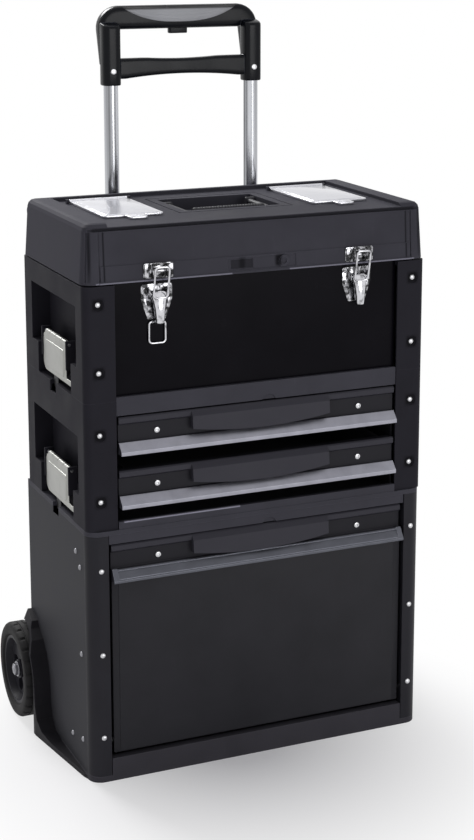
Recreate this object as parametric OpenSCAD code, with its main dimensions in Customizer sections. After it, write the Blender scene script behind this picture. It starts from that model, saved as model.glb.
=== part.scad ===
// Modular rolling tool box, in millimetres.
// X runs to the right seen from the front, the front faces -Y, Z is up and the floor is Z = 0.

/* [Overall] */
// Width over the plastic side caps
body_w = 478; // [458:1:508]
// Depth of the upper modules
body_d = 252; // [244:1:264]
// Height of the rolling bottom module
bottom_h = 340; // [330:1:360]
// Height of the drawer module
mid_h = 167; // [164:1:185]
// Height of the top box without its lid
top_h = 148; // [142:1:170]
// Height of the lid
lid_h = 77; // [74:1:84]

/* [Walls] */
// Sheet steel of the tub, carcass and shell
sheet_t = 1.2; // [0.8:0.1:1.6]
// Moulded wall of the side caps
cap_wall = 3; // [2.5:0.5:3.5]
// Moulded wall of the lid
lid_wall = 3; // [2.5:0.5:3.5]
// Width of the side caps seen from the front
post_w = 41; // [39:1:44]
// Width of the bottom corner posts seen from the front
low_post_w = 27; // [26:1:30]
// Radius of the side caps' upright edges
cap_r = 10; // [6:1:14]
// Radius of the bottom posts' upright edges
low_r = 18; // [14:1:20]

/* [Drawers] */
// Distance from one drawer to the next
drawer_pitch = 70; // [66:1:70]
// Depth of a drawer tray from front to back
tray_len = 216; // [190:1:220]

/* [Side clamps] */
// Width of a clamp plate
clamp_w = 94; // [84:1:100]
// Middle of the clamp plates along the depth
clamp_y = 3; // [-2:1:8]
// Depth of the hand-hold in the side caps
grip_depth = 26; // [22:1:28]

/* [Lid] */
// Width of an organiser cover
cover_w = 82; // [76:1:88]
// Length of an organiser cover
cover_l = 136; // [120:1:140]
// Middle of the covers from the side
cover_in = 93; // [89:1:95]
// Half width of the carry handle's well
well_x = 68; // [62:1:74]

/* [Front latches] */
// Middle of the front latches from the side
latch_in = 99; // [79:1:129]

/* [Wheels] */
// Wheel radius
wheel_r = 66; // [60:1:70]
// Wheel width
wheel_w = 28; // [24:1:32]
// Axle radius
axle_r = 6; // [5:0.5:7]

/* [Trolley handle] */
// Radius of the sliding tubes
tube_r = 10; // [9:0.5:10.5]
// Middle of the tubes from the centre
tube_x = 104; // [96:1:108]
// Height of the grip's sleeves above the lid
sleeve_up = 144; // [126:1:190]

/* [Hidden] */
$fn = 40;
run = 0.05;
hw = body_w / 2;
cover_x = hw - cover_in;
latch_x = hw - latch_in;
hd = body_d / 2;
z_mid = bottom_h;
z_top = z_mid + mid_h;
z_rim = z_top + top_h;
lid_gap = 2;
z_lid = z_rim + lid_gap;
z_max = z_rim + lid_h;
post_in = hw - post_w;
low_in = hw - low_post_w;
low_step = 3;
low_f = -hd - low_step;
rivet_x = hw - 19;
low_rivet_x = hw - 17;
rivet_r = 2;
rivet_head = 3.6;

// base tray
base_t = 8;
sill_top = 31;
sill_d = 12;
post_t = 3;
return_d = 25;
axle_y = hd - 6;
axle_z = wheel_r;
beam_z = 92;
beam_y0 = hd - 28;
beam_y1 = hd + 30;
beam_wall = 4;
guard_w = 24;
wheel_gap = 6;
guard_r = wheel_r + wheel_gap + 5;
skirt_h = 5;
wheel_x0 = hw + 3;
wheel_x1 = wheel_x0 + wheel_w;

// deck of the bottom module
deck_t = 6;
deck_rail = 18;
rail_up = 10;

// clamps
lug_t = deck_t;
pin_r = 2;
knuckle_r = 4;
knuckle_x = hw - 7;
knuckle_z = 59;
plate_t = 1.5;
plate_x = knuckle_x + knuckle_r;
catch_in = 5.6;
catch_h = 14;
plate_z = 8;
plate_r = 10;
foot_l = 22;
foot_h = 7;
tongue_w = 9;
ear_z = 26;
seat_d = 14;
seat_top = 65;
hold_y0 = -hd + 31;
hold_y1 = hd - 38;
hold_z0 = 41;
hold_z1 = 119;
clamp_y0 = clamp_y - clamp_w / 2;
clamp_y1 = clamp_y + clamp_w / 2;
seat_y0 = clamp_y0 - 28;
seat_y1 = clamp_y1 + 13;
dimple_r = 8;
dimple_d = 1.4;

// top tub and lid
tub_f = -hd + 8;
tub_b = hd - 2;
tub_rim = 9;
lid_taper = 5;
lid_top_t = 10;
lid_round = 9;
lid_r = 16;
sunk = 5;
border_x = 35;
border_b = 22;
groove_z0 = z_max - 9.2;
groove_z1 = z_max - 6;
groove_d = 4;
step_d = 1.2;
step_z = 22;
column_w = 22;
lip_h = 2.5;
ring_in = 11;
ring_w = 2.5;
ring_d = 1.2;
hinge_y = hd - 14;
hinge_z = z_max - 17;
hinge_r = 3;
eye_r = 6;
back_top = hinge_z - 12;
stand_x = hw - lid_taper - lid_wall - 2;
lug_w = 5;
lug_x = post_in - 2;
cover_t = 4.5;
cover_play = 0.5;
cover_y1 = hd - 48;
cover_y0 = cover_y1 - cover_l;
cover_z = z_max - sunk;
cover_pin = 1.5;
barrel_r = 2.6;
barrel_y = cover_y1 + 1.5;
barrel_z = cover_z + barrel_r + 0.5;
ear_w = 3.4;
tab_w = 24;
tab_l = 20;
organ_d = 38;
organ_wall = 2;
bail_y = hd - 80;
bail_z = z_max - 12;
bail_len = 68;
bail_r = 4;
bail_grip = 8;
bail_pin = 3;
well_y0 = bail_y - bail_len - 16;
well_y1 = bail_y + 17;
well_d = 21;
bail_x = well_x - 9;

// front latches
latch_z = z_rim - 15;
latch_t = 1.5;
lever_y = tub_f - 8.5;
lever_len = 37;
lever_pin = 1.5;
loop_y = lever_y - 6.9;
loop_z = latch_z - 4;
loop_h = 40;
loop_lean = 8;
loop_x = 9.5;
wire_r = 1.5;
ear_x = 12;
hang_r = 1.3;
hang_x = 11;
keeper_x = 20;
hook_x = 7;
hook_up = 11;
hook_t = 3;
hook_l = 10;
base_x = 21;
toe_x = 12;
base_l = 34;
hang_z = latch_z - 36;
hang_y = tub_f - 2.6;
hang_len = 28;

// drawers and bin
rail_h = 19;
front_x = post_in - 3;
bin_x = low_in - post_t - 1.5;
band_h = 48;
screw_x = 143;
screw_r = 2;
screw_head = 4;
hood_x = 97;
hood_r = 620;
tray_x = post_in - 16;
tray_h = 48;
tray_wall = 1;
rail_d = 10;
rail_gap = 3;
drawer_f = -hd + 12;
bin_top = z_mid - deck_rail - 2;
bin_py = -hd + 14;
bin_pz = 50;
bin_pin = 4;
panel_z0 = sill_top + 6;

// trolley handle
tube_y = hd + 15;
tube_wall = 1.2;
outer_wall = 1.2;
outer_r = tube_r + 2.5;
collar_r = tube_r + 4;
collar_h = 22;
outer_top = hinge_z - 30;
sleeve_z = z_max + sleeve_up;
sleeve_h = 86;
sleeve_r = 13;
cross_z0 = sleeve_z + 8;
cross_h = 28;
cross_r = 700;
bar_r = 15;
bar_z0 = sleeve_z + 74;
bar_h = 32;
bar_y0 = tube_y + 4;
bar_y1 = tube_y + 26;
tube_in = 40;
tube_low = outer_top - 120;
bracket_h = 24;
button_w = 13.5;
button_y = (bar_y0 + bar_y1) / 2;
button_d = 5;
button_up = 7;
grip_screw_up = 19;
grip_screw_z = sleeve_z + grip_screw_up;
pad_x = 86;
pad_t = 2.5;
pad_r = 280;
pad_z0 = bar_z0 + 6;
pad_z1 = bar_z0 + 23.6;

// helpers

module box(x0, x1, y0, y1, z0, z1) {
  translate([x0, y0, z0]) cube([x1 - x0, y1 - y0, z1 - z0]);
}

module both_sides() {
  children();
  mirror([1, 0, 0]) children();
}

module rod_x(r, x0, x1, y, z) {
  translate([x0, y, z]) rotate([0, 90, 0]) cylinder(r = r, h = x1 - x0);
}

module rod_y(r, y0, y1, x, z) {
  translate([x, y0, z]) rotate([-90, 0, 0]) cylinder(r = r, h = y1 - y0);
}

module rod_z(r, z0, z1, x, y) {
  translate([x, y, z0]) cylinder(r = r, h = z1 - z0);
}

// a side-view outline of Y, Z points drawn out along X
module along_x(x0, x1) {
  translate([x0, 0, 0]) rotate([90, 0, 90]) linear_extrude(x1 - x0) children();
}

// a front-view outline of X, Z points drawn out along Y
module along_y(y0, y1) {
  translate([0, y1, 0]) rotate([90, 0, 0]) linear_extrude(y1 - y0) children();
}

// footprint with rounded front corners
module front_round(w, y0, y1, r) {
  translate([-w, y0 + r]) square([2 * w, y1 - y0 - r]);
  translate([-w + r, y0]) square([2 * w - 2 * r, r + 0.5]);
  for (s = [-1, 1]) translate([s * (w - r), y0 + r]) circle(r);
}

// heights of the rivets on the upper caps and the bottom posts
upper_rivets = [z_mid + 38, z_top - 42, z_top + 38, z_rim - 23];
low_rivets = [62, bottom_h / 2 + 5, bottom_h - 52];
low_side_rivets = [49, bottom_h / 2 - 3, bottom_h - 55];
low_side_y = low_f + 34;
side_fixings = [[low_side_y + 16, bottom_h - 38], [low_side_y + 42, 40]];

// bottom module

module guard() {
  intersection() {
    along_x(-hw - guard_w, -hw) difference() {
      polygon(concat([[low_f + 10, 0], [low_f + 10, skirt_h], [axle_y - guard_r - 49, skirt_h + 2]],
                     [[axle_y - guard_r - 21, skirt_h + 7], [axle_y - guard_r - 7, skirt_h + 19]],
                     [[axle_y - guard_r - 2, skirt_h + 37]],
                     [for (a = [175 : -15 : 115]) [axle_y + guard_r * cos(a), axle_z + guard_r * sin(a)]],
                     [[axle_y - 26, beam_z + 52], [axle_y + 2, beam_z + 60], [axle_y + 2, 0]]));
      translate([axle_y, axle_z]) circle(wheel_r + wheel_gap);
      translate([axle_y - wheel_r - wheel_gap, -1]) square([2 * wheel_r, axle_z + 1]);
    }
    linear_extrude(beam_z + 70)
      polygon([[-hw + 6, low_f + 14], [-hw + 1.4, low_f + 14], [-hw - 3, low_f + 27], [-hw - guard_w, 40],
               [-hw - guard_w, hd + 20], [-hw + 6, hd + 20]]);
    along_y(low_f - 5, hd + 30)
      polygon([[-hw + 1, 0], [-hw - guard_w, 0], [-hw - guard_w, beam_z + 18], [-hw - 4, beam_z + 66],
          [-hw + 1, beam_z + 70]]);
  }
}

module base_tray() {
  color([0.1, 0.1, 0.11]) difference() {
    union() {
      difference() {
        linear_extrude(base_t) front_round(hw, low_f, hd, low_r);
        translate([0, 0, 3]) linear_extrude(base_t) front_round(hw - 6, low_f + 6, beam_y0 + 1, low_r - 6);
      }
      box(-low_in + 1, low_in - 1, low_f, low_f + sill_d, 3, sill_top);
      // axle beam at the back
      difference() {
        box(-hw, hw, beam_y0, beam_y1, 2.5, beam_z);
        for (i = [-2 : 1]) {
          box(i * hw / 2 + 3, (i + 1) * hw / 2 - 3, beam_y0 - 1, beam_y1 - beam_wall, base_t,
              beam_z - beam_wall);
        }
      }
      both_sides() guard();
      both_sides() rod_z(outer_r + 3, beam_z - beam_wall - 6, beam_z, tube_x, tube_y);
    }
    rod_x(axle_r, -hw - 1, hw + 1, axle_y, axle_z);
    both_sides() rod_z(outer_r, beam_z - 8, beam_z + 1, tube_x, tube_y);
  }
}

module post_2d() {
  difference() {
    translate([-hw + low_r, low_f + low_r]) circle(low_r);
    translate([-hw + low_r, low_f + low_r]) circle(low_r - post_t);
    translate([-hw + low_r, low_f - 1]) square([low_r + 5, 2 * low_r + 5]);
    translate([-hw - 1, low_f + low_r]) square([2 * low_r + 5, low_r + 5]);
  }
  translate([-hw + low_r, low_f]) square([low_post_w - low_r, post_t]);
  translate([-low_in - post_t, low_f]) square([post_t, return_d]);
  translate([-hw + sheet_t, low_f + low_r]) square([post_t - sheet_t, low_side_y + 8 - low_f - low_r]);
}

module post() {
  color([0.12, 0.12, 0.13]) difference() {
    translate([0, 0, base_t]) linear_extrude(bottom_h - deck_t - base_t) post_2d();
    for (z = low_rivets) rod_y(rivet_r, low_f - 1, low_f + post_t + 1, -low_rivet_x, z);
    for (z = low_side_rivets) rod_x(rivet_r, -hw - 1, -hw + post_t + 1, low_side_y, z);
    rod_x(bin_pin + run, -low_in - post_t - 1, -low_in + 1, bin_py, bin_pz);
  }
}

module post_left() {
  post();
}

module post_right() {
  mirror([1, 0, 0]) post();
}

module catch_cut(seam) {
  both_sides() box(-hw - 1, -hw + catch_in, clamp_y - tongue_w - 3, clamp_y + tongue_w + 3, seam - catch_h,
      seam + 1);
}

module bottom_shell() {
  color([0.28, 0.28, 0.29]) difference() {
    box(-hw, hw, low_f + low_r, hd, base_t, bottom_h - deck_t);
    box(-hw + sheet_t, hw - sheet_t, low_f, hd - sheet_t, 0, bottom_h);
    box(-hw - 1, hw + 1, beam_y0, hd + 1, 0, beam_z);
    both_sides() for (z = low_side_rivets) rod_x(rivet_r, -hw - 1, -hw + 3, low_side_y, z);
    both_sides() for (p = side_fixings) rod_x(rivet_r, -hw - 1, -hw + 3, p[0], p[1]);
    catch_cut(z_mid);
  }
}

module bottom_deck() {
  color([0.22, 0.22, 0.23]) difference() {
    union() {
      translate([0, 0, z_mid - deck_t]) linear_extrude(deck_t) front_round(hw, low_f, hd, low_r);
      box(-low_in + 1, low_in - 1, low_f + 1, low_f + 12, z_mid - deck_rail, z_mid);
      box(-post_in + 1, post_in - 1, low_f + 1, low_f + 8, z_mid - 1, z_mid + rail_up);
    }
    catch_cut(z_mid);
    // small scoop in the middle of the rail
    translate([12, low_f + 3.5, z_mid - deck_rail - 3]) rotate([90, 0, 0]) cylinder(r = 10, h = 6);
  }
}

module rivet() {
  cylinder(r = rivet_head, h = 1.2);
  translate([0, 0, 1.2]) cylinder(r1 = rivet_head, r2 = 1.8, h = 1.2);
  translate([0, 0, -5]) cylinder(r = rivet_r, h = 5.5);
}

module rivets() {
  color([0.85, 0.85, 0.86]) both_sides() {
    for (z = upper_rivets) translate([-rivet_x, -hd + dimple_d, z]) rotate([90, 0, 0]) rivet();
    for (z = low_rivets) translate([-low_rivet_x, low_f, z]) rotate([90, 0, 0]) rivet();
    for (z = low_side_rivets) translate([-hw, low_side_y, z]) rotate([0, -90, 0]) rivet();
    for (p = side_fixings) translate([-hw, p[0], p[1]]) rotate([0, -90, 0]) rivet();
  }
}

// wheels

module axle() {
  color([0.6, 0.6, 0.62]) rod_x(axle_r, -wheel_x1 + 4, wheel_x1 - 4, axle_y, axle_z);
}

module axle_caps() {
  color([0.8, 0.8, 0.82]) both_sides() difference() {
    union() {
      rod_x(11, wheel_x1 - 8, wheel_x1 - 5.5, axle_y, axle_z);
      translate([wheel_x1 - 5.5, axle_y, axle_z]) rotate([0, 90, 0]) cylinder(r1 = 9, r2 = 5, h = 5);
    }
    rod_x(axle_r, wheel_x1 - 9, wheel_x1 - 4, axle_y, axle_z);
  }
}

module tyre() {
  w = wheel_w / 2;
  translate([wheel_x0 + w, axle_y, axle_z]) rotate([0, 90, 0]) rotate_extrude($fn = 72) difference() {
    polygon([[wheel_r - 18, -w + 3], [wheel_r - 14, -w], [wheel_r - 4, -w], [wheel_r, -w + 5],
             [wheel_r, w - 5], [wheel_r - 4, w], [wheel_r - 14, w], [wheel_r - 18, w - 3]]);
    translate([wheel_r - 1, -1]) square([3, 2]);
  }
}

module hub() {
  rim = wheel_r - 18;
  bore = axle_r + run;
  translate([wheel_x0, axle_y, axle_z]) rotate([0, 90, 0]) difference() {
    rotate_extrude($fn = 72)
      polygon([[bore, 0.5], [13, 0.5], [13, 8], [rim - 5, 6], [rim - 5, 3], [rim, 3], [rim, wheel_w - 3],
               [rim - 4, wheel_w - 3], [rim - 7, 15], [13, 13], [13, wheel_w - 8.5], [bore, wheel_w - 8.5]]);
    for (a = [18 : 72 : 306]) rotate(a) translate([28, 0, -1]) cylinder(r = 9.5, h = wheel_w + 2);
  }
}

module tyre_left() {
  color([0.06, 0.06, 0.06]) mirror([1, 0, 0]) tyre();
}

module tyre_right() {
  color([0.06, 0.06, 0.06]) tyre();
}

module hub_left() {
  color([0.16, 0.16, 0.17]) mirror([1, 0, 0]) hub();
}

module hub_right() {
  color([0.16, 0.16, 0.17]) hub();
}

// drawer and bin fronts: top is the height of the upper edge, f the plane of the tray behind

function band_points(f, top) =
  [[f, top], [f - 10, top], [f - 12, top - 2], [f - 12, top - 8], [f - 8, top - 11],
   [f - 8, top - 32], [f - 10.5, top - 34], [f - 20, top - band_h + 4], [f - 20, top - band_h], [f,
       top - band_h]];

module front_band(f, top, x) {
  difference() {
    union() {
      along_x(-x, x) polygon(band_points(f, top));
      // hood with a curved lower edge over the finger gap
      intersection() {
        along_x(-hood_x, hood_x)
          polygon([[f - 4, top - 1], [f - 11, top - 1], [f - 17, top - 8], [f - 19, top - 32], [f - 4,
              top - 34]]);
        along_y(f - 30, f) intersection() {
          translate([-hood_x, top - 34]) square([2 * hood_x, 34]);
          translate([0, top - 32 + hood_r]) circle(hood_r, $fn = 200);
        }
      }
    }
    both_sides() rod_y(screw_r, f - 30, f + 1, screw_x, top - 22);
  }
}

module pull_strip(f, top, x) {
  along_x(-x, x)
    polygon([[f - 10.5, top - 34], [f - 20, top - band_h + 4], [f - 20, top - band_h], [f - 21.6,
        top - band_h],
             [f - 21.6, top - band_h + 4.6], [f - 11.6, top - 33]]);
}

module front_screws(f, top) {
  both_sides() {
    rod_y(screw_head, f - 10.5, f - 8, screw_x, top - 22);
    rod_y(screw_r, f - 8.5, f + tray_wall + 2, screw_x, top - 22);
  }
}

module bin_panel() {
  color([0.16, 0.16, 0.17]) box(-bin_x, bin_x, drawer_f - 12, drawer_f - 10.8, panel_z0, bin_top - band_h);
}

module bin_tray() {
  f = drawer_f - 10.8;
  color([0.3, 0.3, 0.31]) difference() {
    along_x(-bin_x + 3, bin_x - 3)
      polygon([[f, panel_z0 + 4], [f, bin_top - band_h], [drawer_f, bin_top - band_h], [drawer_f,
          bin_top - 4],
               [drawer_f + 30, bin_top - 40], [40, bin_top - 86], [56, panel_z0 + 30], [48, panel_z0 + 4]]);
    along_x(-bin_x + 4.2, bin_x - 4.2)
      polygon([[f + 1.2, panel_z0 + 5.2], [f + 1.2, bin_top - band_h + 1.2], [drawer_f + 1.2,
          bin_top - band_h + 1.2],
               [drawer_f + 1.2, bin_top], [38.8, bin_top], [38.8, bin_top - 86], [54.8, panel_z0 + 30],
                   [46.8, panel_z0 + 5.2]]);
    both_sides() rod_y(screw_r, drawer_f - 1, drawer_f + 4, screw_x, bin_top - 22);
    both_sides() rod_x(bin_pin, bin_x - 6, bin_x, bin_py, bin_pz);
  }
}

module bin_handle() {
  color([0.12, 0.12, 0.13]) front_band(drawer_f, bin_top, bin_x);
}

module bin_strip() {
  f = drawer_f;
  t = bin_top;
  color([0.5, 0.5, 0.52]) {
    pull_strip(f, t, bin_x);
    along_x(-bin_x, bin_x)
      polygon([[f - 11.6, t - 33], [f - 13.4, t - 32.5], [f - 15.2, t - 34.2], [f - 13.4, t - 35.1]]);
    along_x(-bin_x, bin_x)
      polygon([[f - 21, t - band_h], [f - 23.2, t - band_h], [f - 23.2, t - band_h + 3], [f - 21,
          t - band_h + 4.6]]);
    both_sides() along_x(bin_x - 7, bin_x)
      polygon([[f - 11.6, t - 33], [f - 13.6, t - 31.4], [f - 23.2, t - band_h + 3], [f - 23.2, t - band_h],
               [f - 20.8, t - band_h], [f - 20.8, t - band_h + 4.3]]);
  }
}

module bin_screws() {
  color([0.85, 0.85, 0.86]) front_screws(drawer_f, bin_top);
}

module bin_pins() {
  color([0.6, 0.6, 0.62]) both_sides() {
    rod_x(bin_pin, bin_x - 4.2, low_in + 1, bin_py, bin_pz);
    rod_x(bin_pin + 3, bin_x - 6.2, bin_x - 4.2, bin_py, bin_pz);
  }
}

// side caps of the upper modules

module cap_2d(inset, open) {
  x0 = -hw + inset;
  x1 = -post_in + open;
  y1 = hd - inset;
  r = cap_r - inset;
  translate([x0 + r, -y1]) square([x1 - x0 - r, 2 * y1]);
  translate([x0, -y1 + r]) square([r + 0.5, 2 * y1 - 2 * r]);
  for (s = [-1, 1]) translate([x0 + r, s * (y1 - r)]) circle(r);
}

module cap_shell(seam, h) {
  difference() {
    union() {
      difference() {
        translate([0, 0, seam]) linear_extrude(h) cap_2d(0, 0);
        translate([0, 0, seam + cap_wall]) linear_extrude(h - cap_wall - lug_t) cap_2d(cap_wall, 5);
      }
      box(-hw + 1, -hw + grip_depth + cap_wall, hold_y0 - cap_wall, hold_y1 + cap_wall,
          seam + hold_z0 - cap_wall, seam + hold_z1 + cap_wall);
      box(-hw + 1, -hw + seat_d + cap_wall, seat_y0 - cap_wall, seat_y1 + cap_wall, seam, seam + seat_top);
    }
    box(-hw - 1, -hw + grip_depth, hold_y0, hold_y1, seam + hold_z0, seam + hold_z1);
    box(-hw - 1, -hw + seat_d, seat_y0, seat_y1, seam - 1, seam + seat_top);
  }
}

module cap(seam, h, rivet_z) {
  difference() {
    union() {
      cap_shell(seam, h);
      // ears that carry the clamp's pin
      for (y = [clamp_y0 - 4, clamp_y1 + 1])
        box(-hw + 2, -hw + seat_d + 1, y, y + 3, seam + ear_z, seam + knuckle_z + 5);
    }
    rod_y(pin_r, clamp_y0 - 5, clamp_y1 + 5, -knuckle_x, seam + knuckle_z);
    for (z = rivet_z) {
      rod_y(rivet_r, -hd - 1, -hd + cap_wall + 1, -rivet_x, z);
      rod_y(dimple_r, -hd - 1, -hd + dimple_d, -rivet_x, z);
    }
  }
}

module mid_cap() {
  color([0.2, 0.2, 0.21]) difference() {
    cap(z_mid, mid_h, [upper_rivets[0], upper_rivets[1]]);
    catch_cut(z_top);
  }
}

module mid_cap_left() {
  mid_cap();
}

module mid_cap_right() {
  mirror([1, 0, 0]) mid_cap();
}

module top_cap() {
  color([0.2, 0.2, 0.21]) difference() {
    union() {
      cap(z_top, top_h, [upper_rivets[2], upper_rivets[3]]);
      // hinge stand inside the lid
      box(-stand_x, -post_in, hinge_y - eye_r, hinge_y + eye_r, z_rim - 2, hinge_z);
      rod_x(eye_r, -stand_x, -post_in, hinge_y, hinge_z);
    }
    rod_x(hinge_r, -stand_x - 1, -post_in + 1, hinge_y, hinge_z);
  }
}

module top_cap_left() {
  top_cap();
}

module top_cap_right() {
  mirror([1, 0, 0]) top_cap();
}

module mid_carcass() {
  color([0.15, 0.15, 0.16]) difference() {
    box(-post_in, post_in, -hd + 10, hd - 2, z_mid, z_top);
    box(-post_in + sheet_t, post_in - sheet_t, -hd, hd - 2 - sheet_t, z_mid + sheet_t, z_top - sheet_t);
  }
}

module mid_rail() {
  color([0.22, 0.22, 0.23]) difference() {
    union() {
      box(-post_in + 0.5, post_in - 0.5, -hd + 1, -hd + 10, z_top - rail_h, z_top);
      box(-post_in + 0.5, post_in - 0.5, -hd + 1, -hd + 7, z_top - 1, z_top + 5);
    }
    translate([12, -hd + 3, z_top - rail_h - 3]) rotate([90, 0, 0]) cylinder(r = 10, h = 6);
  }
}

// drawers: n counts from the top

function drawer_top(n) = z_top - rail_h - 2 - n * drawer_pitch;
function slide_z(n) = drawer_top(n) - 20;

module drawer_rails() {
  color([0.7, 0.7, 0.72]) both_sides() for (n = [0, 1]) {
    difference() {
      box(post_in - sheet_t - rail_d, post_in - sheet_t, -hd + 14, hd - 12, slide_z(n) - 7, slide_z(n) + 7);
      box(post_in - sheet_t - rail_d - 1, post_in - sheet_t - 1.2, -hd, hd, slide_z(n) - rail_gap - 2,
          slide_z(n) + rail_gap + 2);
    }
  }
}

module drawer_tray(n) {
  t = drawer_top(n);
  color([0.3, 0.3, 0.31]) difference() {
    union() {
      box(-tray_x, tray_x, drawer_f, drawer_f + tray_len, t - tray_h, t - 2);
      both_sides() box(tray_x - 1, post_in - sheet_t - 2, drawer_f + 20, drawer_f + tray_len,
          slide_z(n) - rail_gap, slide_z(n) + rail_gap);
    }
    box(-tray_x + tray_wall, tray_x - tray_wall, drawer_f + tray_wall, drawer_f + tray_len - tray_wall,
        t - tray_h + tray_wall, t);
    both_sides() rod_y(screw_r, drawer_f - 1, drawer_f + 3, screw_x, t - 22);
  }
}

module drawer_1_tray() {
  drawer_tray(0);
}

module drawer_2_tray() {
  drawer_tray(1);
}

module drawer_1_front() {
  color([0.12, 0.12, 0.13]) front_band(drawer_f, drawer_top(0), front_x);
}

module drawer_2_front() {
  color([0.12, 0.12, 0.13]) front_band(drawer_f, drawer_top(1), front_x);
}

module drawer_1_strip() {
  color([0.68, 0.68, 0.7]) pull_strip(drawer_f, drawer_top(0), front_x);
}

module drawer_2_strip() {
  color([0.68, 0.68, 0.7]) pull_strip(drawer_f, drawer_top(1), front_x);
}

module drawer_1_screws() {
  color([0.85, 0.85, 0.86]) front_screws(drawer_f, drawer_top(0));
}

module drawer_2_screws() {
  color([0.85, 0.85, 0.86]) front_screws(drawer_f, drawer_top(1));
}

// side clamps

// plate with a round rear corner, and a foot at its front
module clamp_2d() {
  translate([clamp_y0, plate_z + plate_r]) square([clamp_w, knuckle_z - plate_z - plate_r]);
  translate([clamp_y0, plate_z]) square([clamp_w - plate_r, plate_r + 0.5]);
  translate([clamp_y1 - plate_r, plate_z + plate_r]) circle(plate_r);
  translate([clamp_y0 - foot_l, plate_z]) square([foot_l + 1, foot_h]);
}

module clamp(seam) {
  z0 = seam - lug_t - 2.5;
  color([0.76, 0.77, 0.74]) difference() {
    union() {
      translate([0, 0, seam]) along_x(-plate_x, -plate_x + plate_t) clamp_2d();
      // tongue that hooks under the module below
      box(-plate_x, -plate_x + plate_t, clamp_y - tongue_w, clamp_y + tongue_w, z0, seam + plate_z + 1);
      box(-plate_x, -plate_x + 6, clamp_y - tongue_w, clamp_y + tongue_w, z0, z0 + 1.5);
      rod_y(knuckle_r, clamp_y0, clamp_y1, -knuckle_x, seam + knuckle_z);
    }
    rod_y(pin_r + run, clamp_y0 - 1, clamp_y1 + 1, -knuckle_x, seam + knuckle_z);
  }
}

module clamp_pins() {
  color([0.6, 0.6, 0.62]) both_sides() for (seam = [z_mid, z_top]) {
    rod_y(pin_r, clamp_y0 - 4, clamp_y1 + 4, -knuckle_x, seam + knuckle_z);
  }
}

module clamp_top_left() {
  clamp(z_top);
}

module clamp_top_right() {
  mirror([1, 0, 0]) clamp(z_top);
}

module clamp_mid_left() {
  clamp(z_mid);
}

module clamp_mid_right() {
  mirror([1, 0, 0]) clamp(z_mid);
}

// top box

module top_tub() {
  color([0.05, 0.05, 0.06]) difference() {
    union() {
      box(-post_in, post_in, tub_f, tub_b, z_top, z_rim + tub_rim);
      box(-post_in, post_in, tub_b - sheet_t, tub_b, z_top, back_top);
    }
    box(-post_in + sheet_t, post_in - sheet_t, tub_f + sheet_t, tub_b - sheet_t, z_top + sheet_t, z_max);
  }
}

function lid_in(z) = lid_taper * (z - z_lid) / (z_max - z_lid);

// tapered block with round upright edges, its top edge rounded in steps over the height b
module lid_form(z0, z1, b) {
  cx = hw - lid_r;
  cy = hd - lid_r;
  steps = [[z0, 0], [z1 - b, 0], [z1 - b * 0.5, b * 0.13], [z1 - b * 0.13, b * 0.5], [z1, b]];
  last = len(steps) - 1;
  r = [for (p = steps) lid_r - lid_in(p[0]) - p[1]];
  along_y(-cy, cy) polygon(concat([for (i = [0 : last]) [cx + r[i], steps[i][0]]],
                                  [for (i = [last : -1 : 0]) [-cx - r[i], steps[i][0]]]));
  along_x(-cx, cx) polygon(concat([for (i = [0 : last]) [cy + r[i], steps[i][0]]],
                                  [for (i = [last : -1 : 0]) [-cy - r[i], steps[i][0]]]));
  for (sx = [-1, 1]) for (sy = [-1, 1]) for (i = [0 : last - 1])
    translate([sx * cx, sy * cy, steps[i][0]]) cylinder(r1 = r[i], r2 = r[i + 1],
        h = steps[i + 1][0] - steps[i][0]);
}

// hollow of the lid, which leaves the corners solid
module lid_hollow(z0, z1) {
  cx = hw - lid_r;
  cy = hd - lid_r;
  r0 = lid_r - lid_wall - lid_in(z0);
  r1 = lid_r - lid_wall - lid_in(z1);
  along_y(-cy, cy) polygon([[-cx - r0, z0], [cx + r0, z0], [cx + r1, z1], [-cx - r1, z1]]);
  along_x(-cx, cx) polygon([[-cy - r0, z0], [cy + r0, z0], [cy + r1, z1], [-cy - r1, z1]]);
}

// groove of an even depth down a front corner
module corner_groove() {
  z0 = z_lid + 3;
  z1 = z_max - lid_round - 1;
  translate([-hw + lid_r, -hd + lid_r, 0]) rotate([0, 0, -45]) along_x(-1.2, 1.2)
    polygon([[-30, z0], [1.3 - lid_r + lid_in(z0), z0], [1.3 - lid_r + lid_in(z1), z1], [-30, z1]]);
}

// cut of an even depth in the sloping front of the lid
module lid_front_cut(x0, x1, z0, z1, depth) {
  y0 = -hd + lid_in(z0);
  y1 = -hd + lid_in(z1);
  along_x(x0, x1) polygon([[y0 - 6, z0], [y0 + depth, z0], [y1 + depth, z1], [y1 - 6, z1]]);
}

module organiser_cut() {
  w = cover_w / 2 - 5;
  box(cover_x - w, cover_x + w, cover_y0 + 5, cover_y1 - 6, z_max - organ_d - lid_top_t, z_max);
}

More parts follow.
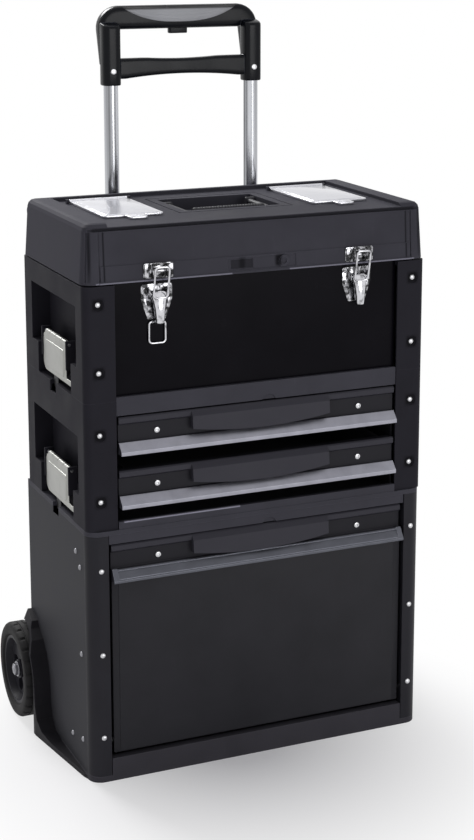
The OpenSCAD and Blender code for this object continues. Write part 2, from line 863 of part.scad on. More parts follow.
module lid() {
  w = cover_w / 2 + cover_play;
  o = cover_w / 2 - 5 + organ_wall;
  g = well_x + ring_in;
  color([0.2, 0.2, 0.21]) difference() {
    union() {
      difference() {
        lid_form(z_lid, z_max, lid_round);
        lid_hollow(z_lid - 1, z_max - lid_top_t);
        // sunken top, open to the front
        box(-hw + border_x, hw - border_x, -hd - 1, hd - border_b, cover_z, z_max + 1);
        // ring round the carry handle's well
        difference() {
          box(-g - ring_w, g + ring_w, well_y0 - ring_in - ring_w, well_y1 + ring_in + ring_w,
              cover_z - ring_d, z_max);
          box(-g, g, well_y0 - ring_in, well_y1 + ring_in, cover_z - ring_d - 1, z_max + 1);
        }
        // groove under the front edge, stepped front and lines beside the corners
        lid_front_cut(-hw + 9, hw - 9, groove_z0, groove_z1, groove_d);
        lid_front_cut(-hw + column_w, hw - column_w, z_lid + step_z, groove_z0 - 1.3, step_d);
        both_sides() lid_front_cut(-hw + column_w - 1, -hw + column_w + 1.5, z_lid + 3, groove_z0 - 1.3,
            step_d + 0.6);
        both_sides() corner_groove();
        // shallow field of the hasp
        lid_front_cut(-46, 50, z_lid + 4, z_lid + 20, step_d);
        lid_front_cut(-41, -10, z_lid + 6, z_lid + 18, step_d + 0.9);
        box(-stand_x - 2, stand_x + 2, 0, hd + 20, z_lid - 1, z_max - lid_top_t);
      }
      both_sides() {
        // organiser boxes under the covers
        box(cover_x - o, cover_x + o, cover_y0 + 5 - organ_wall, cover_y1 - 6 + organ_wall,
            z_max - organ_d - lid_top_t - organ_wall, cover_z - 1);
        // ears for the covers
        box(cover_x - w - ear_w, cover_x - w, barrel_y - 3, barrel_y + 3, cover_z - 1, barrel_z + barrel_r);
        box(cover_x + w, cover_x + w + ear_w, barrel_y - 3, barrel_y + 3, cover_z - 1, barrel_z + barrel_r);
        // hinge lugs
        box(lug_x - lug_w, lug_x, hinge_y - 8, hinge_y + 6, hinge_z, z_max - 5);
        rod_x(7, lug_x - lug_w, lug_x, hinge_y, hinge_z);
        rod_x(7, stand_x + 1, stand_x + 4.4, hinge_y, hinge_z);
      }
      // well of the carry handle
      box(-well_x - organ_wall, well_x + organ_wall, well_y0 - organ_wall, well_y1 + organ_wall,
          z_max - well_d - organ_wall, cover_z - 1);
      both_sides() rod_x(bail_pin + 3, well_x, well_x + 5, bail_y, bail_z);
      // rear lip
      box(-lug_x + lug_w + 1, lug_x - lug_w - 1, hinge_y + 4, hinge_y + 6.5, hinge_z - 10, z_max - 5);
      // lip along the lower front edge, and the eye of the hasp
      box(-hw + column_w, hw - column_w, -hd - 1, -hd + 2, z_lid, z_lid + lip_h);
      rod_y(7.5, -hd - 0.6, -hd + 2.8, 32, z_lid + 12);
    }
    both_sides() organiser_cut();
    both_sides() rod_x(cover_pin + run, cover_x - w - ear_w - 1, cover_x + w + ear_w + 1, barrel_y, barrel_z);
    box(-well_x, well_x, well_y0, well_y1, z_max - well_d, z_max + 1);
    both_sides() rod_x(bail_pin + run, well_x - 1, well_x + 4, bail_y, bail_z);
    both_sides() rod_x(hinge_r + run, lug_x - lug_w - 1, stand_x + 3.4, hinge_y, hinge_z);
    rod_y(4, -hd - 2, -hd + 1, 32, z_lid + 12);
  }
}

module lid_hinge_pins() {
  color([0.6, 0.6, 0.62]) both_sides() rod_x(hinge_r, lug_x - lug_w, stand_x + 3, hinge_y, hinge_z);
}

module cover() {
  w = cover_w / 2;
  color([0.82, 0.83, 0.85]) {
    box(cover_x - w, cover_x + w, cover_y0, cover_y1, cover_z, cover_z + cover_t);
    box(cover_x - tab_w / 2, cover_x + tab_w / 2, cover_y0 - tab_l, cover_y0 + 2, cover_z, cover_z + cover_t);
    rod_x(barrel_r, cover_x - w, cover_x + w, barrel_y, barrel_z);
    rod_x(cover_pin, cover_x - w - ear_w, cover_x + w + ear_w, barrel_y, barrel_z);
  }
}

module cover_left() {
  mirror([1, 0, 0]) cover();
}

module cover_right() {
  cover();
}

module carry_handle() {
  color([0.1, 0.1, 0.11]) {
    both_sides() {
      rod_y(bail_r, bail_y - bail_len, bail_y, bail_x, bail_z);
      rod_x(bail_pin + 3, bail_x - 5, well_x - 1, bail_y, bail_z);
      rod_x(bail_pin, bail_x, well_x + 3.5, bail_y, bail_z);
    }
    rod_x(bail_grip, -bail_x - bail_r, bail_x + bail_r, bail_y - bail_len, bail_z);
  }
}

// front latches

module keeper() {
  z0 = z_lid + 3;
  z1 = z_lid + step_z;
  f = -hd - 0.8;
  c = z0 + hook_up;
  along_x(-keeper_x, keeper_x) polygon([[-hd + lid_in(z0), z0], [-hd + lid_in(z1), z1], [f, z1], [f, z0]]);
  along_x(-hook_x, hook_x) polygon([[f + 0.4, c - 5], [f + 0.4, c + 3], [f - 3, c + hook_t / 2],
      [f - hook_l, c + hook_t / 2], [f - hook_l, c - hook_t / 2], [f - 3, c - hook_t / 2]]);
}

module latch_keepers() {
  color([0.8, 0.8, 0.82]) for (s = [-1, 1]) translate([s * latch_x, 0, 0]) keeper();
}

module latch_base() {
  difference() {
    union() {
      along_y(tub_f - latch_t, tub_f)
        polygon([[-base_x, latch_z + 12], [base_x, latch_z + 12], [base_x, latch_z - 8],
                 [toe_x, latch_z - base_l], [-toe_x, latch_z - base_l], [-base_x, latch_z - 8]]);
      for (s = [-1, 1]) translate([s * (ear_x + 0.75), 0, 0])
        box(-0.75, 0.75, lever_y - 4, tub_f - latch_t + 0.2, latch_z - 6, latch_z + 6);
    }
    rod_x(lever_pin + run, -ear_x - 5, ear_x + 5, lever_y, latch_z);
  }
}

module latch_bases() {
  color([0.8, 0.8, 0.82]) {
    translate([latch_x, 0, 0]) latch_base();
    translate([-latch_x, 0, 0]) difference() {
      union() {
        latch_base();
        rod_x(2.2, -8, 8, hang_y, hang_z);
        box(-8, 8, tub_f - latch_t, tub_f, hang_z, latch_z - 33);
      }
      rod_x(hang_r + run, -20, 20, hang_y, hang_z);
    }
  }
}

module latch_lever() {
  a = lever_y - 3;
  difference() {
    union() {
      translate([0, a, latch_z - lever_len]) cylinder(r1 = 5.5, r2 = 7, h = lever_len + 4);
      rod_x(lever_pin, -ear_x - 2.5, ear_x + 2.5, lever_y, latch_z);
    }
    rod_x(wire_r + run, -10, 10, loop_y, loop_z);
  }
}

module latch_lever_left() {
  color([0.82, 0.82, 0.84]) translate([-latch_x, 0, 0]) latch_lever();
}

module latch_lever_right() {
  color([0.82, 0.82, 0.84]) translate([latch_x, 0, 0]) latch_lever();
}

module latch_loop() {
  lean = atan2(loop_lean, loop_h);
  len = sqrt(loop_lean * loop_lean + loop_h * loop_h);
  translate([0, loop_y, loop_z]) rotate([lean, 0, 0]) {
    for (s = [-1, 1]) {
      rod_z(wire_r, 0, len, s * loop_x, 0);
      for (z = [0, len]) translate([s * loop_x, 0, z]) sphere(r = wire_r);
    }
    rod_x(wire_r, -loop_x, loop_x, 0, 0);
    rod_x(wire_r, -loop_x, loop_x, 0, len);
  }
}

module latch_loop_left() {
  color([0.82, 0.82, 0.84]) translate([-latch_x, 0, 0]) latch_loop();
}

module latch_loop_right() {
  color([0.82, 0.82, 0.84]) translate([latch_x, 0, 0]) latch_loop();
}

module hanging_loop() {
  color([0.82, 0.82, 0.84]) translate([-latch_x, hang_y, hang_z]) {
    for (s = [-1, 1]) {
      rod_z(hang_r, -hang_len, 0, s * hang_x, 0);
      for (z = [0, -hang_len]) translate([s * hang_x, 0, z]) sphere(r = hang_r);
    }
    rod_x(hang_r, -hang_x, hang_x, 0, 0);
    rod_x(hang_r, -hang_x, hang_x, 0, -hang_len);
  }
}

// trolley handle

module outer_tubes() {
  color([0.16, 0.16, 0.17]) both_sides() difference() {
    rod_z(outer_r, beam_z - 8, outer_top, tube_x, tube_y);
    rod_z(outer_r - outer_wall, beam_z - 9, outer_top + 1, tube_x, tube_y);
  }
}

module tube_brackets() {
  color([0.1, 0.1, 0.11]) both_sides() for (z = [beam_z + 30, bottom_h - 50]) {
    difference() {
      box(tube_x - outer_r - 8, tube_x + outer_r + 8, hd, tube_y + outer_r + 4, z, z + bracket_h);
      rod_z(outer_r, z - 1, z + bracket_h + 1, tube_x, tube_y);
    }
  }
}

module tube_collars() {
  color([0.08, 0.08, 0.09]) both_sides() difference() {
    rod_z(collar_r, outer_top - 10, outer_top - 10 + collar_h, tube_x, tube_y);
    rod_z(outer_r, outer_top - 11, outer_top, tube_x, tube_y);
    rod_z(tube_r + 0.3, outer_top - 1, outer_top + collar_h, tube_x, tube_y);
  }
}

module inner_tubes() {
  color([0.85, 0.85, 0.87]) both_sides() difference() {
    rod_z(tube_r, tube_low, sleeve_z + tube_in, tube_x, tube_y);
    rod_z(tube_r - tube_wall, tube_low - 1, sleeve_z + tube_in + 1, tube_x, tube_y);
  }
}

// front-view outline with round upper corners
module round_top(w, z0, z1, r) {
  translate([-w, z0]) square([2 * w, z1 - z0 - r]);
  translate([-w + r, z0]) square([2 * w - 2 * r, z1 - z0]);
  for (s = [-1, 1]) translate([s * (w - r), z1 - r]) circle(r);
}

module grip_frame() {
  color([0.09, 0.09, 0.1]) difference() {
    union() {
      both_sides() rod_z(sleeve_r, sleeve_z, sleeve_z + sleeve_h, tube_x, tube_y);
      // bar behind the sleeves, and the arms that carry it
      intersection() {
        union() {
          both_sides() along_x(tube_x - 11, tube_x + sleeve_r)
            polygon([[tube_y, sleeve_z + 30], [tube_y + 9, sleeve_z + 34], [bar_y1 - 4, bar_z0 - 2],
                [bar_y1, bar_z0 + 10],
                     [bar_y1, bar_z0 + 20], [bar_y1 - 9, bar_z0 + bar_h], [bar_y0 + 7, bar_z0 + bar_h],
                         [bar_y0, bar_z0 + 24],
                     [bar_y0, sleeve_z + sleeve_h], [tube_y, sleeve_z + sleeve_h]]);
          along_x(-tube_x, tube_x)
            polygon([[bar_y0, bar_z0], [bar_y1 - 4, bar_z0], [bar_y1, bar_z0 + 6], [bar_y1, bar_z0 + 20],
                     [bar_y1 - 9, bar_z0 + bar_h], [bar_y0 + 7, bar_z0 + bar_h], [bar_y0, bar_z0 + 24]]);
        }
        along_y(tube_y - 30, bar_y1 + 5) round_top(tube_x + sleeve_r, sleeve_z, bar_z0 + bar_h, bar_r);
      }
      // crossbar, slimmer in the middle
      along_y(tube_y - 8, tube_y + 8) difference() {
        translate([-tube_x, cross_z0]) square([2 * tube_x, cross_h]);
        translate([0, cross_z0 + 5 - cross_r]) circle(cross_r, $fn = 180);
        translate([0, cross_z0 + cross_h - 2 + cross_r]) circle(cross_r, $fn = 180);
      }
    }
    both_sides() rod_z(tube_r, sleeve_z - 1, sleeve_z + tube_in, tube_x, tube_y);
    box(-button_w - 0.5, button_w + 0.5, button_y - button_d - 0.5, button_y + button_d + 0.5, bar_z0 - 1,
        bar_z0 + 4);
    box(-button_w - 3.5, button_w + 3.5, button_y - button_d - 2.5, button_y + button_d + 2.5, bar_z0 + 3,
        bar_z0 + 15);
    both_sides() rod_y(screw_r, tube_y - sleeve_r - 1, tube_y - tube_r + 0.5, tube_x, grip_screw_z);
    both_sides() rod_y(screw_head + 0.3, tube_y - sleeve_r - 1, tube_y - sleeve_r + 0.8, tube_x,
        grip_screw_z);
  }
}

module grip_pad() {
  color([0.45, 0.45, 0.47]) along_y(bar_y0 - pad_t, bar_y0) intersection() {
    translate([0, pad_z0 + pad_r]) circle(pad_r, $fn = 180);
    translate([-pad_x, bar_z0]) square([2 * pad_x, pad_z1 - bar_z0]);
  }
}

module release_button() {
  color([0.06, 0.06, 0.07]) {
    box(-button_w, button_w, button_y - button_d, button_y + button_d, bar_z0 - button_up, bar_z0 + 5);
    box(-button_w - 3, button_w + 3, button_y - button_d - 2, button_y + button_d + 2, bar_z0 + 3,
        bar_z0 + 6);
  }
}

module grip_screws() {
  f = tube_y - sleeve_r;
  color([0.85, 0.85, 0.86]) both_sides() {
    rod_y(screw_head, f - 1, f + 0.8, tube_x, grip_screw_z);
    rod_y(screw_r, f, tube_y - tube_r, tube_x, grip_screw_z);
  }
}

base_tray();
post_left();
post_right();
bottom_shell();
bottom_deck();
rivets();
axle();
axle_caps();
tyre_left();
hub_left();
tyre_right();
hub_right();
bin_panel();
bin_tray();
bin_handle();
bin_strip();
bin_screws();
bin_pins();
mid_cap_left();
mid_cap_right();
mid_carcass();
mid_rail();
drawer_rails();
drawer_1_tray();
drawer_1_front();
drawer_1_strip();
drawer_1_screws();
drawer_2_tray();
drawer_2_front();
drawer_2_strip();
drawer_2_screws();
top_cap_left();
top_cap_right();
top_tub();
clamp_pins();
clamp_top_left();
clamp_top_right();
clamp_mid_left();
clamp_mid_right();
lid();
lid_hinge_pins();
cover_left();
cover_right();
carry_handle();
latch_keepers();
latch_bases();
latch_lever_left();
latch_lever_right();
latch_loop_left();
latch_loop_right();
hanging_loop();
outer_tubes();
tube_brackets();
tube_collars();
inner_tubes();
grip_frame();
grip_pad();
release_button();
grip_screws();
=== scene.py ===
"""Looks of a modular rolling tool box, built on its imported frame."""

import math

import bmesh
import bpy
from bpy.props import FloatProperty, FloatVectorProperty, PointerProperty
from bpy.types import Operator, Panel, PropertyGroup
from mathutils import Matrix, Vector


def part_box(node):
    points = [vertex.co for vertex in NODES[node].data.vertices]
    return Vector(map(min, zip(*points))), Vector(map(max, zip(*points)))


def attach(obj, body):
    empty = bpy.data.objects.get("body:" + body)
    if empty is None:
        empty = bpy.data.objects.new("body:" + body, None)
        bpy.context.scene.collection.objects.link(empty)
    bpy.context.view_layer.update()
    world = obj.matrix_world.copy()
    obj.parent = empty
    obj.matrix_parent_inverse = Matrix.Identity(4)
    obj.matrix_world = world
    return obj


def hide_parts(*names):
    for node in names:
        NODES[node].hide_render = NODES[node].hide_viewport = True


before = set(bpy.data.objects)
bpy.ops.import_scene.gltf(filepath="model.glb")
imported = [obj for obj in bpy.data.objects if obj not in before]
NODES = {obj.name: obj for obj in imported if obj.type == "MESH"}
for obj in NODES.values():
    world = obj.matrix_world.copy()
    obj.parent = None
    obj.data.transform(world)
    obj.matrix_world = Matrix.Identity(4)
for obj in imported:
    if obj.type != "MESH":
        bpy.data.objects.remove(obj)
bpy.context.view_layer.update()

bl_info = {
    "name": "Rolling tool box",
    "version": (1, 0, 0),
    "blender": (4, 5, 0),
    "location": "View3D > Sidebar > Tool box",
    "description": "Finishes, trim and stage of a modular rolling tool box",
    "category": "Object",
}


# Forms are in millimetres in the frame of the part; finishes and the stage are in metres.
MM = 0.001
# Edges are shaded smooth below the first angle, and rounded above the second.
SMOOTH, SHARP = math.radians(32), 0.5
SIDES = (("left", -1), ("right", 1))
SIDE_X = 239

# Rivet heads: x and y of a column with its heights, and y and z on the steel sides.
CAP_RIVETS = (220, -124.6, (378, 465, 545, 632))
POST_RIVETS = (222, -129, (62, 175, 288))
SIDE_RIVETS = ((-95, 49), (-95, 167), (-95, 285), (-79, 302), (-53, 40))


def colour(label, about, value):
    """A colour property of the tool box."""
    return FloatVectorProperty(name=label, description=about, default=value,
                               subtype="COLOR", size=3, min=0, max=1)


def length(label, about, value):
    """A length property of the tool box, in metres."""
    return FloatProperty(name=label, description=about, default=value,
                         subtype="DISTANCE", unit="LENGTH", min=0)


class BoxColours(PropertyGroup):
    """Colours of the finishes."""

    grey_plastic: colour("Grey plastic", "Side caps", (0.0190, 0.0182, 0.0235))
    lid_plastic: colour("Lid plastic", "Lid", (0.050, 0.049, 0.060))
    rail_plastic: colour("Rail plastic", "Front rail and deck", (0.050, 0.049, 0.060))
    black_plastic: colour("Black plastic", "Posts and hubs", (0.0180, 0.0175, 0.0220))
    front_plastic: colour("Front plastic", "Bands of the drawers and the bin", (0.0155, 0.0150, 0.0190))
    base_plastic: colour("Base plastic", "Base tray and wheel guards", (0.044, 0.042, 0.050))
    grip_plastic: colour("Grip plastic", "Gloss plastic of the grip", (0.0046, 0.0052, 0.0075))
    black_paint: colour("Black paint", "Gloss paint of the top box", (0.0030, 0.0025, 0.0044))
    panel_paint: colour("Panel paint", "Satin paint of the bin front and drawer carcass", (0.0215, 0.0212, 0.0250))
    side_paint: colour("Side paint", "Satin paint of the steel sides", (0.044, 0.044, 0.049))
    zinc: colour("Zinc", "Rivets, screws and pins", (0.60, 0.60, 0.62))
    # A darker, rougher copy of the zinc: painted shade on the rivets of the steel sides and the axle nuts.
    dull_zinc: colour("Dull zinc", "Rivets of the steel sides and axle nuts", (0.26, 0.26, 0.28))
    chrome: colour("Chrome", "Levers and loops of the latches", (0.62, 0.62, 0.65))
    # A copy of the chrome with more and darker mottle: painted dark reflection, shading the latch plates and
    # keepers.
    stamped_chrome: colour("Stamped chrome", "Plates of the latches", (0.58, 0.58, 0.61))
    tube_chrome: colour("Tube chrome", "Pull tubes", (0.54, 0.55, 0.58))
    aluminium: colour("Aluminium", "Pull strips of the drawers", (0.27, 0.27, 0.31))
    channel: colour("Channel", "Pull channel of the bin", (0.095, 0.098, 0.115))
    cover: colour("Cover", "Organiser covers", (0.62, 0.62, 0.66))
    clamp: colour("Clamp", "Side clamp plates", (0.335, 0.337, 0.320))
    hook: colour("Hook", "Dark hooks of the clamps", (0.030, 0.030, 0.033))
    rubber: colour("Rubber", "Tyres", (0.0042, 0.0039, 0.0044))
    pad: colour("Grip pad", "Soft pad of the grip", (0.36, 0.365, 0.385))
    floor: colour("Floor", "Floor and backdrop", (0.90, 0.89, 0.91))


class BoxSizes(PropertyGroup):
    """Sizes of the softened edges and the moulded grain."""

    edge: length("Edge", "Radius of the softened edges", 0.0012)
    grain: length("Grain", "Size of the moulded grain", 0.0009)


class Link:
    """A node socket that takes part in Python expressions."""

    def __init__(self, maker, socket):
        self.maker = maker
        self.socket = socket

    def _math(self, operation, a, b):
        return self.maker.node("ShaderNodeMath", {"operation": operation}, {0: a, 1: b})

    def __add__(self, other):
        return self._math("ADD", self, other)

    def __radd__(self, other):
        return self._math("ADD", other, self)

    def __sub__(self, other):
        return self._math("SUBTRACT", self, other)

    def __rsub__(self, other):
        return self._math("SUBTRACT", other, self)

    def __mul__(self, other):
        return self._math("MULTIPLY", self, other)

    def __rmul__(self, other):
        return self._math("MULTIPLY", other, self)


class Maker:
    """Builds the nodes of one material or of the world."""

    def __init__(self, owner, output="ShaderNodeOutputMaterial"):
        self.owner = owner
        owner.use_nodes = True
        self.tree = owner.node_tree
        self.tree.nodes.clear()
        self.output = self.tree.nodes.new(output)
        self.coords = self.node("ShaderNodeTexCoord", out="Object")

    def node(self, kind, settings=None, sockets=None, out=0):
        """Adds a node: its settings first, then the values or links of its sockets."""
        made = self.tree.nodes.new(kind)
        for key, value in (settings or {}).items():
            setattr(made, key, value)
        for key, value in (sockets or {}).items():
            if isinstance(value, Link):
                self.tree.links.new(value.socket, made.inputs[key])
            else:
                made.inputs[key].default_value = value
        return Link(self, made.outputs[out])

    def noise(self, size, detail=3, rough=0.5, stretch=None):
        """Noise from 0 to 1 with features of about that size in metres."""
        place = self.coords
        if stretch:
            place = self.node("ShaderNodeVectorMath", {"operation": "MULTIPLY"}, {0: place, 1: stretch})
        sockets = {"Vector": place, "Scale": 1 / size, "Detail": detail, "Roughness": rough}
        return self.node("ShaderNodeTexNoise", {}, sockets)

    def ramp(self, value, low, high):
        """Value moved from low..high to 0..1, and clipped."""
        return self.node("ShaderNodeMapRange", {"clamp": True}, {0: value, 1: low, 2: high, 3: 0.0, 4: 1.0})

    def mix(self, mask, first, second):
        """Colour first where the mask is 0, second where it is 1."""
        ends = [(*c, 1) if isinstance(c, tuple) else c for c in (first, second)]
        return self.node("ShaderNodeMix", {"data_type": "RGBA"}, {0: mask, 6: ends[0], 7: ends[1]}, out=2)

    def inside(self, low, high, soft):
        """Mask of a box, the same left and right unless it starts less than 0.5 to the left of the middle."""
        mask = 1.0
        for axis, (start, stop) in enumerate(zip(low, high)):
            place = self.node("ShaderNodeSeparateXYZ", {}, {0: self.coords}, out=axis)
            if axis == 0 and not -0.5 < start < 0:
                place = self.node("ShaderNodeMath", {"operation": "ABSOLUTE"}, {0: place})
            mask = mask * self.ramp(place, start - soft, start + soft)
            mask = mask * (1 - self.ramp(place, stop - soft, stop + soft))
        return mask

    def round_edges(self, radius):
        """Normal with softened edges, and a mask of where they are."""
        soft = self.node("ShaderNodeBevel", {"samples": 4}, {"Radius": radius})
        flat = self.node("ShaderNodeNewGeometry", out="Normal")
        dot = {"operation": "DOT_PRODUCT"}
        along = self.node("ShaderNodeVectorMath", dot, {0: soft, 1: flat}, out="Value")
        return soft, self.ramp(1 - along, 0.02, 0.25)

    def bump(self, height, strength, depth, normal):
        """Bump of that depth in metres."""
        sockets = {"Strength": strength, "Distance": depth, "Height": height, "Normal": normal}
        return self.node("ShaderNodeBump", {}, sockets)

    def shown(self):
        """1 for rays that show the background: straight from the camera, or by way of gloss or glass."""
        kinds = ("Camera", "Glossy", "Transmission")
        camera, gloss, glass = (self.node("ShaderNodeLightPath", out=f"Is {kind} Ray") for kind in kinds)
        return self.ramp(camera + gloss + glass, 0.0, 1.0)

    def end(self, shader):
        """Joins the last shader to the output."""
        self.tree.links.new(shader.socket, self.output.inputs["Surface"])
        return self.owner

    def surface(self, **sockets):
        """Ends the material with a Principled shader."""
        names = [key.replace("_", " ").title().replace("Ior", "IOR") for key in sockets]
        return self.end(self.node("ShaderNodeBsdfPrincipled", {}, dict(zip(names, sockets.values()))))


def material(name):
    """A new material and the maker of its nodes."""
    return Maker(bpy.data.materials.new(name))


def scaled(shade, factor):
    """A colour made lighter or darker."""
    return tuple(min(1.0, c * factor) for c in shade)


def moulded_plastic(name, shade, edge, grain, roughness, gloss, depth=0.0002, edge_sheen=0.5, sheen_and_wear=3.2,
                    patches=()):
    """Moulded plastic with a fine grain, clouds, scuffs, edges lightened as a painted highlight, and lighter or
    darker patches: painted shade, painted highlights and a darker guard.
    """
    m = material(name)
    soft, rim = m.round_edges(edge)
    cloud = m.ramp(m.noise(0.06, 4), 0.3, 0.7)
    base = m.mix(cloud, scaled(shade, 0.90), scaled(shade, 1.10))
    for low, high, blur, factor in patches:
        base = m.mix(m.inside(low, high, blur), base, scaled(shade, factor))
    scuff = m.ramp(m.noise(0.012, 6, 0.7, (1, 1, 0.2)), 0.62, 0.78)
    # The scuffs are real marks; the rim mask lightens every edge as a painted highlight.
    worn_and_sheen = m.mix(rim * edge_sheen + scuff * 0.10, base, scaled(shade, sheen_and_wear))
    fine = m.noise(grain, 2)
    return m.surface(base_color=worn_and_sheen, roughness=roughness - 0.06 + 0.14 * cloud, specular_ior_level=gloss,
                     normal=m.bump(fine, 0.25, depth, soft))


def painted_steel(name, shade, edge, roughness, gloss):
    """Powder coated sheet with orange peel and faint handling marks."""
    m = material(name)
    soft, rim = m.round_edges(edge)
    smear = m.ramp(m.noise(0.09, 5, 0.6), 0.35, 0.75)
    coat = m.mix(smear, scaled(shade, 0.92), scaled(shade, 1.18))
    # The rim mask lightens the edges: a painted highlight.
    base = m.mix(rim * 0.35, coat, scaled(shade, 2.6))
    peel = m.noise(0.004, 2)
    return m.surface(base_color=base, roughness=roughness + 0.10 * smear, specular_ior_level=gloss,
                     normal=m.bump(peel, 0.06, 0.0003, soft))


def bright_metal(name, shade, edge, roughness, spread=0.1, brushed=None, edge_highlight=0.4):
    """Bare or plated metal, brushed along one direction if asked, with edges lightened as a painted highlight."""
    m = material(name)
    soft, rim = m.round_edges(edge)
    stain = m.ramp(m.noise(0.02, 4), 0.3, 0.7)
    line = m.noise(0.0016, 3, 0.6, brushed) if brushed else m.noise(0.003, 3)
    base = m.mix(stain, scaled(shade, 0.88), scaled(shade, 1.08))
    # The rim mask lightens the edges: a painted highlight.
    return m.surface(base_color=m.mix(rim * edge_highlight, base, scaled(shade, 2.6)), metallic=1.0,
                     roughness=roughness + spread * (line - 0.5) + 0.05 * stain,
                     normal=m.bump(line, 0.12 if brushed else 0.05, 0.0002, soft))


def polished_chrome(name, shade, edge, clear, mottle_full_at, dark):
    """Plated and polished metal, mottled with rougher and darker patches: the roughness is the plating's, the
    darker colour a painted reflection of dark surroundings; edges lightened as a painted highlight.
    """
    m = material(name)
    soft, rim = m.round_edges(edge)
    reflection_and_dulling = m.ramp(m.noise(0.0075, 2, 0.5), clear, mottle_full_at)
    # The darker colour of the mottle is a painted reflection; the rim mask paints a highlight on the edges.
    base = m.mix(reflection_and_dulling, shade, scaled(shade, dark))
    return m.surface(base_color=m.mix(rim * 0.5, base, scaled(shade, 1.4)), metallic=1.0,
                     roughness=0.10 + 0.16 * reflection_and_dulling, normal=m.bump(reflection_and_dulling, 0.10, 0.0004, soft))


def drawn_tube(name, shade, edge):
    """Plated tube with long bright and dark bands along it, painted reflections, and a faint haze."""
    m = material(name)
    soft, _ = m.round_edges(edge)
    reflection_streak = m.ramp(m.noise(0.0075, 1, 0.5, (1, 1, 0.004)), 0.36, 0.62)
    haze = m.ramp(m.noise(0.03, 4), 0.3, 0.7)
    # The long bands are painted reflections of the surroundings.
    base = m.mix(reflection_streak, scaled(shade, 0.22), scaled(shade, 1.15))
    return m.surface(base_color=m.mix(haze * 0.2, base, scaled(shade, 0.8)), metallic=1.0,
                     roughness=0.14 + 0.08 * haze, normal=m.bump(haze, 0.03, 0.0002, soft))


def glossy_cover(name, shade, edge):
    """Glossy metallised plastic."""
    m = material(name)
    soft, rim = m.round_edges(edge)
    haze = m.ramp(m.noise(0.05, 4), 0.3, 0.7)
    base = m.mix(haze, scaled(shade, 0.96), scaled(shade, 1.03))
    # The rim mask lightens the edges: a painted highlight.
    return m.surface(base_color=m.mix(rim * 0.5, base, scaled(shade, 1.3)), metallic=0.75,
                     roughness=0.16 + 0.07 * haze, normal=m.bump(m.noise(0.006, 2), 0.03, 0.0003, soft))


def tyre_rubber(name, shade, edge):
    """Black rubber, dusty in places."""
    m = material(name)
    soft, rim = m.round_edges(edge)
    dust = m.ramp(m.noise(0.015, 5, 0.65), 0.45, 0.8)
    # Lighter where dusty, which is a real mark, and along the edges, which is a painted highlight.
    return m.surface(base_color=m.mix(dust * 0.5 + rim * 0.2, shade, scaled(shade, 3.0)),
                     roughness=0.72 + 0.15 * dust, specular_ior_level=0.25,
                     normal=m.bump(m.noise(0.0012, 3), 0.3, 0.0003, soft))


# Patches of the plastics: low and high corner, blur, and factor of the shade.
# Lid: painted shade in the groove under the top's front edge and beside the corner columns, two darker patches at
# the hasp, and a painted highlight along the lower front edge.
LID_PAINTED_SHADE_AND_HIGHLIGHT = [((-1, -0.130, 0.7222), (0.224, -0.1175, 0.7266), 0.0006, 0.2),
             ((0.2095, -0.130, 0.660), (0.2115, -0.1175, 0.7225), 0.0008, 0.3),
             ((0.2275, -0.1240, 0.660), (0.2312, -0.1190, 0.7225), 0.0012, 0.35),
             ((-0.041, -0.130, 0.663), (-0.010, -0.110, 0.675), 0.0010, 0.55),
             ((0.021, -0.130, 0.663), (0.029, -0.110, 0.677), 0.0020, 0.25),
             ((0.040, -0.130, 0.6560), (0.222, -0.1235, 0.6588), 0.0004, 4.0)]
# Side caps: painted shade in the dimples round the rivet heads.
DIMPLE_PAINTED_SHADE = [((0.2125, -0.1300, z * MM - 0.0075), (0.2275, -0.1190, z * MM + 0.0075), 0.0025, 0.35)
                for z in CAP_RIVETS[2]]
# Deck: a painted highlight along the left part of its front top edge.
DECK_PAINTED_HIGHLIGHT = [((-0.19, -0.1300, 0.3484), (-0.03, -0.1250, 0.3512), 0.0005, 6)]
# Fronts of the drawers and bin: the parts standing proud are lightened, painted light where the top light falls on
# them.
FRONT_PAINTED_LIGHT = [((-1, -0.150, 0), (1, -0.1243, 1), 0.0004, 2.4)]
# Base: the outer parts of the wheel guards are darker.
GUARD_DARKER = [((0.2396, -1, -1), (1, 1, 1), 0.0005, 0.35)]
# Grip pad: a painted shadow along its top, under the bar's edge.
PAD_PAINTED_SHADOW = [((-1, -1, 0.9768), (1, 1, 1), 0.0012, 0.05)]

FINISH_OF = {
    "grey_plastic": ["mid_cap_left", "mid_cap_right", "top_cap_left", "top_cap_right"],
    "lid_plastic": ["lid"],
    "rail_plastic": ["bottom_deck", "mid_rail"],
    "base_plastic": ["base_tray"],
    "black_plastic": ["post_left", "post_right", "hub_left", "hub_right", "carry_handle", "tube_brackets"],
    "front_plastic": ["bin_handle", "drawer_1_front", "drawer_2_front"],
    "grip_plastic": ["tube_collars", "grip_frame", "release_button"],
    "black_paint": ["top_tub", "outer_tubes"],
    "panel_paint": ["bin_panel", "mid_carcass"],
    "side_paint": ["bottom_shell", "bin_tray", "drawer_1_tray", "drawer_2_tray"],
    "zinc": ["rivets", "axle", "axle_caps", "bin_screws", "bin_pins", "drawer_rails", "drawer_1_screws",
             "drawer_2_screws", "clamp_pins", "lid_hinge_pins", "grip_screws"],
    "stamped_chrome": ["latch_keepers", "latch_bases"],
    "chrome": ["latch_lever_left", "latch_lever_right", "latch_loop_left", "latch_loop_right",
               "hanging_loop"],
    "tube_chrome": ["inner_tubes"],
    "aluminium": ["drawer_1_strip", "drawer_2_strip"],
    "channel": ["bin_strip"],
    "cover": ["cover_left", "cover_right"],
    "clamp": ["clamp_top_left", "clamp_top_right", "clamp_mid_left", "clamp_mid_right"],
    "rubber": ["tyre_left", "tyre_right"],
    "pad": ["grip_pad"],
}


